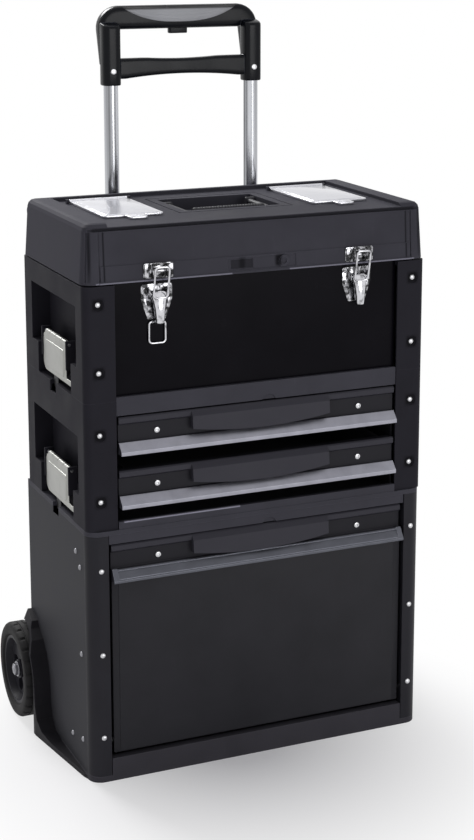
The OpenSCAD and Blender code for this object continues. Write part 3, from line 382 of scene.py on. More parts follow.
def finish(name):
    """The named finish, made the first time it is asked for."""
    label = "finish_" + name
    if label in bpy.data.materials:
        return bpy.data.materials[label]
    shades = bpy.context.scene.toolbox_colours
    sizes = bpy.context.scene.toolbox_sizes
    shade = tuple(getattr(shades, name))
    edge, grain = sizes.edge, sizes.grain
    makers = {
        "grey_plastic": lambda: moulded_plastic(label, shade, edge, grain, 0.55, 0.045, patches=DIMPLE_PAINTED_SHADE),
        "lid_plastic": lambda: moulded_plastic(label, shade, edge, grain, 0.55, 0.025, patches=LID_PAINTED_SHADE_AND_HIGHLIGHT),
        "rail_plastic": lambda: moulded_plastic(label, shade, edge, grain, 0.52, 0.05, patches=DECK_PAINTED_HIGHLIGHT),
        "black_plastic": lambda: moulded_plastic(label, shade, edge, grain, 0.45, 0.12),
        "front_plastic": lambda: moulded_plastic(label, shade, edge, grain, 0.45, 0.12, patches=FRONT_PAINTED_LIGHT),
        "base_plastic": lambda: moulded_plastic(label, shade, edge, grain, 0.50, 0.08, patches=GUARD_DARKER),
        # The grip's edges are lightened fourteenfold: a painted highlight on its top edges.
        "grip_plastic": lambda: moulded_plastic(label, shade, edge, grain, 0.22, 0.12, 0.00004, 0.6, 14),
        "black_paint": lambda: painted_steel(label, shade, edge, 0.20, 0.05),
        "panel_paint": lambda: painted_steel(label, shade, edge, 0.36, 0.12),
        "side_paint": lambda: painted_steel(label, shade, edge, 0.48, 0.03),
        "zinc": lambda: bright_metal(label, shade, edge * 0.3, 0.30),
        "dull_zinc": lambda: bright_metal(label, shade, edge * 0.3, 0.40),
        "chrome": lambda: polished_chrome(label, shade, edge * 0.3, 0.50, 0.72, 0.3),
        # More and darker mottle than the chrome: painted dark reflection on the plates and keepers.
        "stamped_chrome": lambda: polished_chrome(label, shade, edge * 0.3, 0.36, 0.56, 0.05),
        "tube_chrome": lambda: drawn_tube(label, shade, edge * 0.5),
        "aluminium": lambda: bright_metal(label, shade, edge * 0.8, 0.40, 0.2, (0.02, 1, 1)),
        # The channel's edges get a strong painted highlight.
        "channel": lambda: bright_metal(label, shade, edge, 0.42, 0.2, (0.02, 1, 1), 0.9),
        "cover": lambda: glossy_cover(label, shade, edge * 0.5),
        "clamp": lambda: bright_metal(label, shade, edge * 0.4, 0.34, 0.12, (1, 1, 0.05), 0.3),
        "hook": lambda: bright_metal(label, shade, edge * 0.4, 0.45),
        "rubber": lambda: tyre_rubber(label, shade, edge),
        "pad": lambda: moulded_plastic(label, shade, edge * 0.5, grain, 0.55, 0.3, edge_sheen=0.0,
                                       patches=PAD_PAINTED_SHADOW),
    }
    return makers[name]()


def dress(thing, name):
    """Gives an object one finish."""
    thing.data.materials.clear()
    thing.data.materials.append(finish(name))


class TOOLBOX_OT_finishes(Operator):
    """Give every solid of the frame its finish"""

    bl_idname = "toolbox.finishes"
    bl_label = "Finishes"

    def execute(self, context):
        named = [n for group in FINISH_OF.values() for n in group]
        missing = sorted(set(NODES) - set(named))
        if missing:
            raise RuntimeError(f"no finish for {missing}")
        for name, group in FINISH_OF.items():
            for node in group:
                dress(NODES[node], name)
        return {"FINISHED"}


def at(origin, along, sign=1):
    """Places a form's points at an origin, with its length along X, Y or Z."""
    def place(u, v, w):
        spread = {"X": (w * sign, u, v), "Y": (u, w * sign, v), "Z": (u, v, w * sign)}[along]
        return Vector(origin) + Vector(spread)
    return place


def rounded(points, radii, steps=5, closed=True):
    """An outline or a path with its corners rounded."""
    made = []
    for i, corner in enumerate(points):
        here = Vector(corner)
        radius = radii[i] if isinstance(radii, (list, tuple)) else radii
        if radius == 0 or (not closed and i in (0, len(points) - 1)):
            made.append(here)
            continue
        back = Vector(points[i - 1]) - here
        ahead = Vector(points[(i + 1) % len(points)]) - here
        half = back.angle(ahead) / 2
        reach = min(radius / math.tan(half), 0.49 * back.length, 0.49 * ahead.length)
        radius = reach * math.tan(half)
        centre = here + (back.normalized() + ahead.normalized()).normalized() * (radius / math.sin(half))
        first = here + back.normalized() * reach - centre
        last = here + ahead.normalized() * reach - centre
        made += [centre + first.lerp(last, k / steps).normalized() * radius for k in range(steps + 1)]
    return made


def skin(bm, rings, loop=False):
    """Faces between rings of points, capped at both ends or joined into a loop."""
    faces = []
    count = len(rings[0])
    for low, high in list(zip(rings, rings[1:])) + ([(rings[-1], rings[0])] if loop else []):
        for i in range(count):
            j = (i + 1) % count
            faces.append(bm.faces.new((low[i], low[j], high[j], high[i])))
    if not loop:
        faces += [bm.faces.new(rings[0][::-1]), bm.faces.new(rings[-1])]
    return faces


def prism(bm, outline, low, high, place):
    """An outline swept from low to high."""
    return skin(bm, [[bm.verts.new(place(u, v, w)) for u, v in outline] for w in (low, high)])


def angles(count):
    """Angles of the points of a ring."""
    return [2 * math.pi * k / count for k in range(count)]


def turned(bm, profile, place, sides=32):
    """A turned form, from radius and height along its axis."""
    rings = []
    for radius, height in profile:
        ring = [place(radius * math.cos(a), radius * math.sin(a), height) for a in angles(sides)]
        rings.append([bm.verts.new(point) for point in ring])
    return skin(bm, rings)


def wire(bm, points, radius, sides=12, loop=False):
    """A round wire along a path."""
    rings, up = [], None
    for i, here in enumerate(points):
        ahead = points[(i + 1) % len(points)] if loop or i + 1 < len(points) else here
        back = points[i - 1] if loop or i else here
        way = (Vector(ahead) - Vector(back)).normalized()
        up = way.orthogonal().normalized() if up is None else (up - way * up.dot(way)).normalized()
        ring = [math.cos(a) * up + math.sin(a) * way.cross(up) for a in angles(sides)]
        rings.append([bm.verts.new(Vector(here) + radius * out) for out in ring])
    return skin(bm, rings, loop)


def soften(bm, faces, width, segments):
    """Rounds the sharp edges of the faces."""
    bm.normal_update()
    shared = dict.fromkeys(e for f in faces for e in f.edges if len(e.link_faces) == 2)
    edges = [e for e in shared if e.calc_face_angle(0) > SHARP]
    bmesh.ops.bevel(bm, geom=edges, offset=width, segments=segments, profile=0.5, affect="EDGES",
                    clamp_overlap=True)


def plate(bm, outline, low, high, place, edge=0.5, segments=2):
    """A flat part with softened edges."""
    soften(bm, prism(bm, outline, low, high, place), edge, segments)


def box_outline(u0, u1, v0, v1):
    """The corners of a rectangle."""
    return [(u0, v0), (u1, v0), (u1, v1), (u0, v1)]


def span(side, near, far):
    """The low and high end of a width on one side of the middle."""
    return sorted((near * side, far * side))


def squared(angle, power):
    """A point on a circle, moved towards a square."""
    return [math.copysign(abs(t) ** power, t) for t in (math.cos(angle), math.sin(angle))]


def piece(bm, name, body, finish_name, slot, *nodes):
    """Turns a form in millimetres into a named piece that rides on a body and stands for nodes."""
    bmesh.ops.scale(bm, vec=(MM, MM, MM), verts=bm.verts)
    bmesh.ops.recalc_face_normals(bm, faces=bm.faces)
    mesh = bpy.data.meshes.new(name)
    bm.to_mesh(mesh)
    bm.free()
    mesh.shade_smooth()
    mesh.set_sharp_from_angle(angle=SMOOTH)
    thing = bpy.data.objects.new(name, mesh)
    bpy.context.scene.collection.objects.link(thing)
    dress(thing, finish_name)
    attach(thing, body)
    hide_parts(*nodes)
    return thing


RIVET_PROFILE = [(2.4, -1.0), (3.6, -0.2), (3.6, 0.5), (3.35, 1.1), (2.7, 1.75), (1.6, 2.2), (0.3, 2.38)]


class TOOLBOX_OT_rivets(Operator):
    """Make the domed rivet heads of the posts, side caps and steel sides"""

    bl_idname = "toolbox.rivets"
    bl_label = "Rivets"

    def execute(self, context):
        fronts, sides = bmesh.new(), bmesh.new()
        for side in (-1, 1):
            for x, y, heights in (CAP_RIVETS, POST_RIVETS):
                for z in heights:
                    turned(fronts, RIVET_PROFILE, at((x * side, y, z), "Y", -1), 24)
            for y, z in SIDE_RIVETS:
                turned(sides, RIVET_PROFILE, at((SIDE_X * side, y, z), "X", side), 24)
        piece(fronts, "rivet_heads", "frame", "zinc", "zinc_steel", "rivets")
        # The rivets of the steel sides take the darker zinc copy: painted shade.
        piece(sides, "side_rivet_heads", "frame", "dull_zinc", "zinc_steel", "rivets")
        return {"FINISHED"}


FRONT_SCREWS = (("drawer_1", 464), ("drawer_2", 394), ("bin", 298))
FRONT_SCREW_X, FRONT_SCREW_Y = 143, -122
TUBE_X, TUBE_Y = 104, 141
GRIP_SCREW_Y, GRIP_SCREW_Z = 128.8, 895


def screw_head(bm, place, radius, height):
    """A pan head with a sunken socket, on a short shank."""
    head = [(0.5, 0.0), (1, 0.0), (1, 0.45), (0.9, 0.8), (0.66, 0.98), (0.44, 1), (0.38, 0.5), (0.08, 0.42)]
    shank = [(radius * 0.5, -2.0)]
    turned(bm, shank + [(radius * r, height * h) for r, h in head], place, 24)


class TOOLBOX_OT_screws(Operator):
    """Make the screws of the fronts and the grip"""

    bl_idname = "toolbox.screws"
    bl_label = "Screws"

    def execute(self, context):
        for body, z in FRONT_SCREWS:
            bm = bmesh.new()
            for x in (-FRONT_SCREW_X, FRONT_SCREW_X):
                screw_head(bm, at((x, FRONT_SCREW_Y, z), "Y", -1), 4, 2.5)
            piece(bm, body + "_screw_heads", body, "zinc", "zinc_steel", body + "_screws")
        bm = bmesh.new()
        for x in (-TUBE_X, TUBE_X):
            screw_head(bm, at((x, GRIP_SCREW_Y, GRIP_SCREW_Z), "Y", -1), 4, 1.8)
        piece(bm, "grip_screw_heads", "pull_handle", "zinc", "zinc_steel", "grip_screws")
        return {"FINISHED"}


LATCH_X = 140
KEEPER_BACK, KEEPER_PAD, KEEPER_RIM = -126.5, -129.0, -130.5
BASE_BACK, BASE_FRONT = -117.6, -119.5
KEEPER_HEAD = [(2.4, 0), (2.4, 0.4), (1.7, 1.0), (0.3, 1.25)]
EAR_HEAD = [(2.2, -0.6), (2.2, 0.5), (1.5, 1.1), (0.3, 1.35)]
LEVER_PIN = [(1.2, -14.4), (2.4, -14.2), (2.4, -13.6), (1.5, -13.5), (1.5, 13.5), (2.4, 13.6), (2.4, 14.2),
             (1.2, 14.4)]
# Rings of a lever from its top: height, half width, half depth and y.
LEVER_RINGS = [(643.8, 7.6, 2.6, -127.0), (642.4, 9.6, 4.2, -127.2), (638, 10.4, 5.6, -127.8),
               (632, 9.0, 6.0, -128.8), (622, 7.2, 6.2, -129.4), (612, 6.2, 6.0, -129.5),
               (606, 5.9, 5.8, -129.5), (604, 5.4, 5.3, -129.5), (603.1, 4.2, 4.2, -129.5)]
RING_SIDES = 28


def keeper(bm, x):
    """The lid's half of a latch: a plate, two bright pads and a framed hook."""
    front = at((x, 0, 0), "Y")
    plate(bm, rounded(box_outline(-20, 20, 660, 679.4), 2.5), -126.8, -125.0, front, 0.5)
    for side in (-1, 1):
        pad = rounded(box_outline(*span(side, 10.2, 19.2), 661.2, 678.4), 1.5)
        plate(bm, pad, KEEPER_PAD, KEEPER_BACK, front, 0.9, 3)
        turned(bm, KEEPER_HEAD, at((x + 14.7 * side, -128.9, 670), "Y", -1), 16)
        cheek = rounded(box_outline(*span(side, 6.2, 8.8), 661, 678.8), 0.8)
        plate(bm, cheek, KEEPER_RIM, KEEPER_BACK, front, 0.5)
    for low, high in ((676.4, 679), (660.8, 663)):
        plate(bm, rounded(box_outline(-8.8, 8.8, low, high), 0.8), KEEPER_RIM, KEEPER_BACK, front, 0.5)
    hook = [(KEEPER_BACK, 668.2), (-131, 669.5), (-136.7, 669.6), (-136.7, 672.4), (-131, 672.4),
            (KEEPER_BACK, 674)]
    plate(bm, rounded(hook, [0, 2, 1, 1, 2, 0], 3), -6.8, 6.8, at((x, 0, 0), "X"), 0.5)


def latch_base(bm, x):
    """The stamped plate and ears that carry a lever."""
    front = at((x, 0, 0), "Y")
    stamped = [(-21, 652), (-21, 632), (-12, 606), (12, 606), (21, 632), (21, 652)]
    plate(bm, rounded(stamped, [4, 8, 3, 3, 8, 4]), BASE_FRONT, BASE_BACK, front, 0.6)
    for side in (-1, 1):
        ear = rounded([(-118.2, 632), (-130.3, 635), (-130.3, 645.8), (-118.2, 648)], [0, 4, 4, 0], 4)
        plate(bm, ear, *span(side, 12, 13.5), at((x, 0, 0), "X"), 0.35)
        turned(bm, EAR_HEAD, at((x + 17 * side, -119.4, 646.5), "Y", -1), 16)
        rib = rounded([(15.2 * side, 634), (18.2 * side, 634), (13 * side, 616), (11 * side, 616)], 0.8, 3)
        plate(bm, rib, -120.6, -119.2, front, 0.5)


def lever(bm, x):
    """A tapered barrel lever on its pin."""
    rings = []
    for z, wide, deep, y in LEVER_RINGS:
        ring = [squared(a, 0.8) for a in angles(RING_SIDES)]
        rings.append([bm.verts.new((x + wide * u, y + deep * v, z)) for u, v in ring])
    skin(bm, rings[::-1])
    turned(bm, LEVER_PIN, at((x, -126.5, 640), "X"), 16)


def bail(x, half, low, high):
    """The rounded path of a wire loop between two lines of the same length."""
    return rounded([(x - half, *low), (x + half, *low), (x + half, *high), (x - half, *high)], 4.5, 6)


class TOOLBOX_OT_latches(Operator):
    """Make the front latches: keepers, base plates, levers and wire loops"""

    bl_idname = "toolbox.latches"
    bl_label = "Latches"

    def execute(self, context):
        keepers, bases = bmesh.new(), bmesh.new()
        for name, side in SIDES:
            x = LATCH_X * side
            keeper(keepers, x)
            latch_base(bases, x)
            bm = bmesh.new()
            lever(bm, x)
            piece(bm, f"{name}_lever", f"lever_{name}", "chrome", "chrome", f"latch_lever_{name}")
            bm = bmesh.new()
            wire(bm, bail(x, 9.5, (-133.4, 636), (-141.4, 676)), 1.5, 12, True)
            piece(bm, f"{name}_wire_loop", f"loop_{name}", "chrome", "chrome", f"latch_loop_{name}")
        turned(bases, [(1.4, -8), (2.2, -7.4), (2.2, 7.4), (1.4, 8)], at((-LATCH_X, -120.6, 604), "X"), 16)
        piece(keepers, "keepers", "lid", "stamped_chrome", "chrome", "latch_keepers")
        piece(bases, "latch_plates", "frame", "stamped_chrome", "chrome", "latch_bases")
        bm = bmesh.new()
        wire(bm, bail(-LATCH_X, 11, (-120.6, 576), (-120.6, 604)), 1.3, 12, True)
        piece(bm, "hanging_wire", "hanging_loop", "chrome", "chrome", "hanging_loop")
        return {"FINISHED"}


# Side clamps: seams between the modules, then y and height above the seam.
SEAMS = (("top", 507), ("mid", 340))
CLAMP_PLATE = [(-66, 8), (50, 8), (50, 59), (-44, 59), (-44, 15), (-66, 15)]
CLAMP_CORNERS = [2, 13, 10, 3, 2, 2]
CLAMP_PIN_IN, CLAMP_PIN_UP = 7, 59
KNUCKLES = ((-44, -22), (-21, 1), (2, 22), (23, 41))


class TOOLBOX_OT_clamps(Operator):
    """Make the formed plates of the side clamps"""

    bl_idname = "toolbox.clamps"
    bl_label = "Clamps"

    def execute(self, context):
        for level, seam in SEAMS:
            for name, side in SIDES:
                bm = bmesh.new()
                place = at((SIDE_X * side, 0, seam), "X", side)
                plate(bm, rounded(CLAMP_PLATE, CLAMP_CORNERS, 8), -4.5, -3, place, 0.6, 3)
                plate(bm, rounded(box_outline(-37, 43, 15, 50), [6, 10, 6, 6], 6), -3.8, -2, place, 1.1, 3)
                hinge = at(((SIDE_X - CLAMP_PIN_IN) * side, 0, seam + CLAMP_PIN_UP), "Y")
                for low, high in KNUCKLES:
                    turned(bm, [(3.4, low), (4.0, low + 0.7), (4.0, high - 0.7), (3.4, high)], hinge, 24)
                node = f"clamp_{level}_{name}"
                piece(bm, f"{level}_{name}_clamp", node, "clamp", "clamp_metal", node)
                bm = bmesh.new()
                plate(bm, rounded(box_outline(-6, 12, -8.4, 14), [3, 3, 0, 0]), -6, -4.55, place, 0.4)
                plate(bm, rounded(box_outline(-6, 12, -8.4, -6.9), 0.6, 3), -8.8, -4.6, place, 0.4)
                piece(bm, f"{level}_{name}_hook", node, "hook", "clamp_metal", node)
        return {"FINISHED"}


AXLE_Y, AXLE_Z = 120, 66
WHEEL_OUT = 17
# Section of a tyre: radius and distance from its middle.
TYRE_SECTION = [(48, -10), (50.5, -13.4), (53, -14), (60, -14), (63, -13.3), (65, -11.5), (66, -9),
                (66, -4.6), (64.6, -4.2), (64.6, -2.8), (66, -2.4), (66, 2.4), (64.6, 2.8), (64.6, 4.2),
                (66, 4.6), (66, 9), (65, 11.5), (63, 13.3), (60, 14), (53, 14), (50.5, 13.4), (48, 10)]
TYRE_SIDES, BLOCK_SIDES = 144, 6
BLOCK_RADIUS, BLOCK_OUT, BLOCK_CUT = 64.8, 4.5, 1.8
NUT_WASHER = [(6, 22.9), (10.8, 23), (11, 23.4), (11, 25), (10.6, 25.4), (6, 25.5)]
NUT_RADIUS = 8.6
NUT_END = [(4.6, 29), (4.6, 30), (3.4, 30.4), (0.4, 30.5)]


def tyre(bm, x):
    """A tyre with two grooves round it and blocks cut across its shoulders."""
    rings = []
    for k, a in enumerate(angles(TYRE_SIDES)):
        ring = []
        for radius, out in TYRE_SECTION:
            if radius > BLOCK_RADIUS and abs(out) > BLOCK_OUT and k % BLOCK_SIDES == 0:
                radius -= BLOCK_CUT
            ring.append(bm.verts.new((x + out, AXLE_Y + radius * math.cos(a), AXLE_Z + radius * math.sin(a))))
        rings.append(ring)
    skin(bm, rings, True)


class TOOLBOX_OT_wheels(Operator):
    """Make the tyres and the axle nuts"""

    bl_idname = "toolbox.wheels"
    bl_label = "Wheels"

    def execute(self, context):
        nuts = bmesh.new()
        for name, side in SIDES:
            bm = bmesh.new()
            tyre(bm, (SIDE_X + WHEEL_OUT) * side)
            piece(bm, f"{name}_tyre", f"wheel_{name}", "rubber", "tyre_rubber", f"tyre_{name}")
            place = at((SIDE_X * side, AXLE_Y, AXLE_Z), "X", side)
            turned(nuts, NUT_WASHER, place, 32)
            hexagon = [(NUT_RADIUS * math.cos(a), NUT_RADIUS * math.sin(a)) for a in angles(6)]
            plate(nuts, hexagon, 25.2, 29.6, place, 0.7)
            turned(nuts, NUT_END, place, 24)
        # The nuts take the darker zinc copy: painted shade.
        piece(nuts, "axle_nuts", "frame", "dull_zinc", "zinc_steel", "axle_caps")
        return {"FINISHED"}


# Grip: the bar, the bends at its ends, the arms and the sleeves on the tubes.
BAR_Y, BAR_Z, BAR_DEEP, BAR_HALF = 156, 966, 11, 16
BEND_X, BEND_Z, BEND_RADIUS, BEND_STEPS = 89, 950, 16, 8
ARM_X, ARM_LOW, ARM_HALF = 105, 904, 12
SLEEVE_HALF, SLEEVE_TOP, SLEEVE_POWER = 13, 952, 0.62
SLEEVE_RINGS = ((876, 0.8), (876.6, 0.3), (878, 0), (900, 0), (930, 0), (952, 0))
CROSSBAR_END, CROSSBAR_STEPS, CROSSBAR_BOW = 100, 24, 700
PAD_TOP, PAD_HALF, PAD_LIP, PAD_DROP, PAD_CROWN = 980.0, 84.0, 0.4, 20.4, 2.0
PAD_COLUMNS, PAD_ROWS, PAD_THICK = 96, 18, 1.2
X_AXIS, Y_AXIS, Z_AXIS = (1, 0, 0), (0, 1, 0), (0, 0, 1)


def squircle(bm, centre, across, along, half_across, half_along, power=0.5):
    """A ring with the shape of a rounded rectangle round a centre."""
    ring = []
    for k in range(RING_SIDES):
        u, v = squared(2 * math.pi * (k + 0.5) / RING_SIDES, power)
        out = Vector(across) * (half_across * u) + Vector(along) * (half_along * v)
        ring.append(bm.verts.new(centre + out))
    return ring


def grip_bow(bm):
    """The bar of the grip with its two arms, swept in one piece."""
    stations = []
    for z in (904, 912, 922, 934, 944):
        lean = (z - ARM_LOW) / (BEND_Z - ARM_LOW)
        stations.append((ARM_X, z, 1, 0, ARM_HALF, 147 + 9 * lean, 4.5 + 6.5 * lean))
    for k in range(BEND_STEPS + 1):
        share = k / BEND_STEPS
        nx, nz = math.cos(math.pi / 2 * share), math.sin(math.pi / 2 * share)
        half = ARM_HALF + (BAR_HALF - ARM_HALF) * share
        stations.append((BEND_X + BEND_RADIUS * nx, BEND_Z + BEND_RADIUS * nz, nx, nz, half, BAR_Y, BAR_DEEP))
    stations += [(-x, z, -nx, nz, half, y, deep) for x, z, nx, nz, half, y, deep in stations[::-1]]
    skin(bm, [squircle(bm, Vector((x, y, z)), (nx, 0, nz), Y_AXIS, half, deep)
              for x, z, nx, nz, half, y, deep in stations])


def sleeve_ring(bm, x, z, shrink):
    """A ring of a sleeve, smaller by a shrink."""
    half = SLEEVE_HALF - shrink
    return squircle(bm, Vector((x, TUBE_Y, z)), X_AXIS, Y_AXIS, half, half, SLEEVE_POWER)


def grip_sleeve(bm, x):
    """A sleeve over a tube, squarish, with a sloping step at its top."""
    rings = [sleeve_ring(bm, x, z, shrink) for z, shrink in SLEEVE_RINGS]
    for lift, shrink in ((4.5, 0.2), (6.5, 1.4), (7.2, 4.0)):
        ring = sleeve_ring(bm, x, SLEEVE_TOP, shrink)
        for vert in ring:
            vert.co.z += lift + (vert.co.y - TUBE_Y) * 0.22
        rings.append(ring)
    skin(bm, rings)


def grip_crossbar(bm):
    """The crossbar between the sleeves, slimmer in the middle."""
    rings = []
    for k in range(CROSSBAR_STEPS + 1):
        x = CROSSBAR_END * (2 * k / CROSSBAR_STEPS - 1)
        bow = math.sqrt(CROSSBAR_BOW ** 2 - x ** 2)
        low, high = max(884.0, 189 + bow), min(912.0, 1610 - bow)
        centre = Vector((x, TUBE_Y, (low + high) / 2))
        rings.append(squircle(bm, centre, Z_AXIS, Y_AXIS, (high - low) / 2, 7.8, 0.4))
    skin(bm, rings)


def grip_cushion(bm):
    """The crowned pad on the grip, curved over the bar's front edge."""
    grid = []
    for i in range(PAD_COLUMNS + 1):
        x = PAD_HALF * (2 * i / PAD_COLUMNS - 1)
        end = abs(x / PAD_HALF)
        low = PAD_TOP - PAD_LIP - PAD_DROP * (1 - end ** 2.6)
        column = []
        for j in range(PAD_ROWS + 1):
            t = j / PAD_ROWS
            z = low + (PAD_TOP - low) * t
            swell = (1 - abs(2 * t - 1) ** 5) * (1 - end ** 8)
            ridge = 0.25 * math.cos(8 * math.pi * t) * swell
            fall = min(1.0, abs((z - BAR_Z) / BAR_HALF))
            face = BAR_Y - BAR_DEEP * (1 - fall ** 4) ** 0.25
            column.append(bm.verts.new((x, face + 0.25 - max(0.0, PAD_CROWN * swell + ridge), z)))
        grid.append(column)
    for a, b in zip(grid, grid[1:]):
        for j in range(PAD_ROWS):
            bm.faces.new((a[j], b[j], b[j + 1], a[j + 1]))
    rim = [c[0] for c in grid] + grid[-1][1:] + [c[-1] for c in grid[-2::-1]] + grid[0][-2:0:-1]
    back = [bm.verts.new((v.co.x, v.co.y + PAD_THICK, v.co.z)) for v in rim]
    for i in range(len(rim)):
        j = (i + 1) % len(rim)
        bm.faces.new((rim[i], rim[j], back[j], back[i]))
    bm.faces.new(back)


class TOOLBOX_OT_grip(Operator):
    """Make the grip of the pull handle, its crowned pad and its release button"""

    bl_idname = "toolbox.grip"
    bl_label = "Grip"

    def execute(self, context):
        bm = bmesh.new()
        grip_bow(bm)
        for x in (-TUBE_X, TUBE_X):
            grip_sleeve(bm, x)
        grip_crossbar(bm)
        piece(bm, "grip_bow", "pull_handle", "grip_plastic", "black_plastic", "grip_frame")
        bm = bmesh.new()
        grip_cushion(bm)
        piece(bm, "grip_cushion", "pull_handle", "pad", "grip_rubber", "grip_pad")
        bm = bmesh.new()
        button = rounded(box_outline(-13.4, 13.4, 151.1, 160.9), 2.5, 5)
        plate(bm, button, 943.1, 955, at((0, 0, 0), "Z"), 1.2, 3)
        piece(bm, "grip_button", "release_button", "grip_plastic", "black_plastic", "release_button")
        return {"FINISHED"}


class TOOLBOX_OT_bin_front(Operator):
    """Make the folded sheet of the bin's front"""

    bl_idname = "toolbox.bin_front"
    bl_label = "Bin front"

    def execute(self, context):
        low, high = (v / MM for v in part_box("bin_panel"))
        bm = bmesh.new()
        front = at((0, 0, 0), "Y")
        sheet = rounded(box_outline(low.x, high.x, low.z, high.z), 1.5, 3)
        plate(bm, sheet, low.y + 0.7, high.y, front, 0.3)
        field = rounded(box_outline(low.x + 9, high.x - 9, low.z + 1, high.z - 1), 2.0, 4)
        plate(bm, field, low.y, low.y + 0.8, front, 0.6, 3)
        piece(bm, "bin_front_sheet", "bin", "panel_paint", "black_paint", "bin_panel")
        return {"FINISHED"}


HANDLE_HALF, HANDLE_Y, HANDLE_Z = 59, -22, 720
HANDLE_PIVOT_Y = 46
RIB_COUNT, RIB_FIRST, RIB_STEP, RIB_HIGH, RIB_LOW = 23, -44, 4, 7.8, 7.1
HANDLE_EYE = [(4.8, 54), (6.0, 55), (6.0, 66), (5.4, 67), (3.0, 67), (3.0, 71.4)]


class TOOLBOX_OT_carry_handle(Operator):
    """Make the carry handle of the lid: a bent rod with a ribbed grip"""

    bl_idname = "toolbox.carry_handle"
    bl_label = "Carry handle"

    def execute(self, context):
        bm = bmesh.new()
        rod = [(x, y, HANDLE_Z) for x, y in ((HANDLE_HALF, HANDLE_PIVOT_Y), (HANDLE_HALF, HANDLE_Y),
                                             (-HANDLE_HALF, HANDLE_Y), (-HANDLE_HALF, HANDLE_PIVOT_Y))]
        wire(bm, rounded(rod, 10, 8, False), 4, 16)
        ribs = [(5.0, -51), (7.0, -50.4), (RIB_HIGH, -49), (RIB_HIGH, -46)]
        for k in range(RIB_COUNT):
            x = RIB_FIRST + RIB_STEP * k
            ribs += [(RIB_HIGH, x - 1.2), (RIB_LOW, x - 0.6), (RIB_LOW, x + 0.6), (RIB_HIGH, x + 1.2)]
        ribs += [(RIB_HIGH, 46), (RIB_HIGH, 49), (7.0, 50.4), (5.0, 51)]
        turned(bm, ribs, at((0, HANDLE_Y, HANDLE_Z), "X"), 28)
        for side in (-1, 1):
            turned(bm, HANDLE_EYE, at((0, HANDLE_PIVOT_Y, HANDLE_Z), "X", side), 24)
        piece(bm, "lid_carry_handle", "carry_handle", "black_plastic", "black_plastic", "carry_handle")
        return {"FINISHED"}


COVER_X, COVER_HINGE_Y, COVER_HINGE_Z = 146, 79.5, 730.1
COVER_OUTLINE = [(-41, -58), (-12, -58), (-12, -78), (12, -78), (12, -58), (41, -58), (41, 78), (-41, 78)]
COVER_CORNERS = [5, 3, 4, 4, 3, 5, 2, 2]
COVER_TOP = 731.4


class TOOLBOX_OT_covers(Operator):
    """Make the silver organiser covers with a raised panel and a ribbed tab"""

    bl_idname = "toolbox.covers"
    bl_label = "Covers"

    def execute(self, context):
        for name, side in SIDES:
            bm = bmesh.new()
            x = COVER_X * side
            place = at((x, 0, 0), "Z")
            plate(bm, rounded(COVER_OUTLINE, COVER_CORNERS, 5), 727.05, 730.7, place, 0.8, 3)
            plate(bm, rounded(box_outline(-36, 36, -53, 72), 4, 5), 730.2, COVER_TOP, place, 0.6, 3)
            for k in range(4):
                y = -75.2 + 3.4 * k
                plate(bm, rounded(box_outline(-6.2, 6.2, y, y + 1.5), 0.7, 3), 730.3, COVER_TOP, place, 0.4)
            hinge = at((x, COVER_HINGE_Y, COVER_HINGE_Z), "X")
            turned(bm, [(2.1, -41), (2.6, -40.4), (2.6, 40.4), (2.1, 41)], hinge, 20)
            turned(bm, [(1.4, -44.6), (1.4, 44.6)], hinge, 12)
            piece(bm, f"{name}_cover_plate", f"cover_{name}", "cover", "silver_plastic", f"cover_{name}")
        return {"FINISHED"}


FLOOR_HALF = 12.0
# The floor shows its matt paint, with the real shadow, round the part and glows plain white further out, fading
# between these distances: a painted shadow round the part.
PAINTED_SHADOW_CENTRE, PAINTED_SHADOW_NEAR, PAINTED_SHADOW_FAR, PAINTED_SHADOW_LEAST = (-0.02, -0.10, 0), 0.05, 0.43, 0.05
WORLD_FILL = 0.40
# Lamps: place, aim, size and power.
LAMPS = {
    "key": ((-0.5, 2.4, 2.6), (0, 0, 0.4), (1.4, 1.4), 100),
    "top": ((0.1, 0.4, 2.7), (0, 0, 0.5), (1.6, 1.2), 10),
    "fill": ((0.9, -3.4, 0.9), (0, 0, 0.3), (1.6, 1.6), 32),
}
# Camera fitted to the photo: picture height, focal length and middle row in pixels, then its pose.
PICTURE_HIGH, FOCAL, MIDDLE_ROW, SENSOR = 840, 1806.03, 290, 36
CAMERA_PLACE = (-0.93057, -2.18407, 1.09531)
YAW, PITCH, ROLL = math.radians(23.554), math.radians(11.565), math.radians(-0.064)


def floor_paint(shade):
    """Matt pale paint near the part, glowing plain white away from it: the fade paints a shadow round the part
    over the real one.
    """
    m = material("floor_paint")
    distance = {"operation": "DISTANCE"}
    away = m.node("ShaderNodeVectorMath", distance, {0: m.coords, 1: PAINTED_SHADOW_CENTRE}, out="Value")
    glow = m.node("ShaderNodeEmission", {}, {"Color": (1, 1, 1, 1), "Strength": 1.0})
    cloud = m.ramp(m.noise(0.8, 2), 0.3, 0.7)
    paint = m.mix(cloud, scaled(shade, 0.99), shade)
    matt = m.node("ShaderNodeBsdfDiffuse", {}, {"Color": paint, "Roughness": 0.5})
    # The glow's share grows with distance from the part: a painted shadow round it.
    pale = m.shown() * (PAINTED_SHADOW_LEAST + (1 - PAINTED_SHADOW_LEAST) * m.ramp(away, PAINTED_SHADOW_NEAR, PAINTED_SHADOW_FAR))
    return m.end(m.node("ShaderNodeMixShader", {}, {0: pale, 1: matt, 2: glow}))


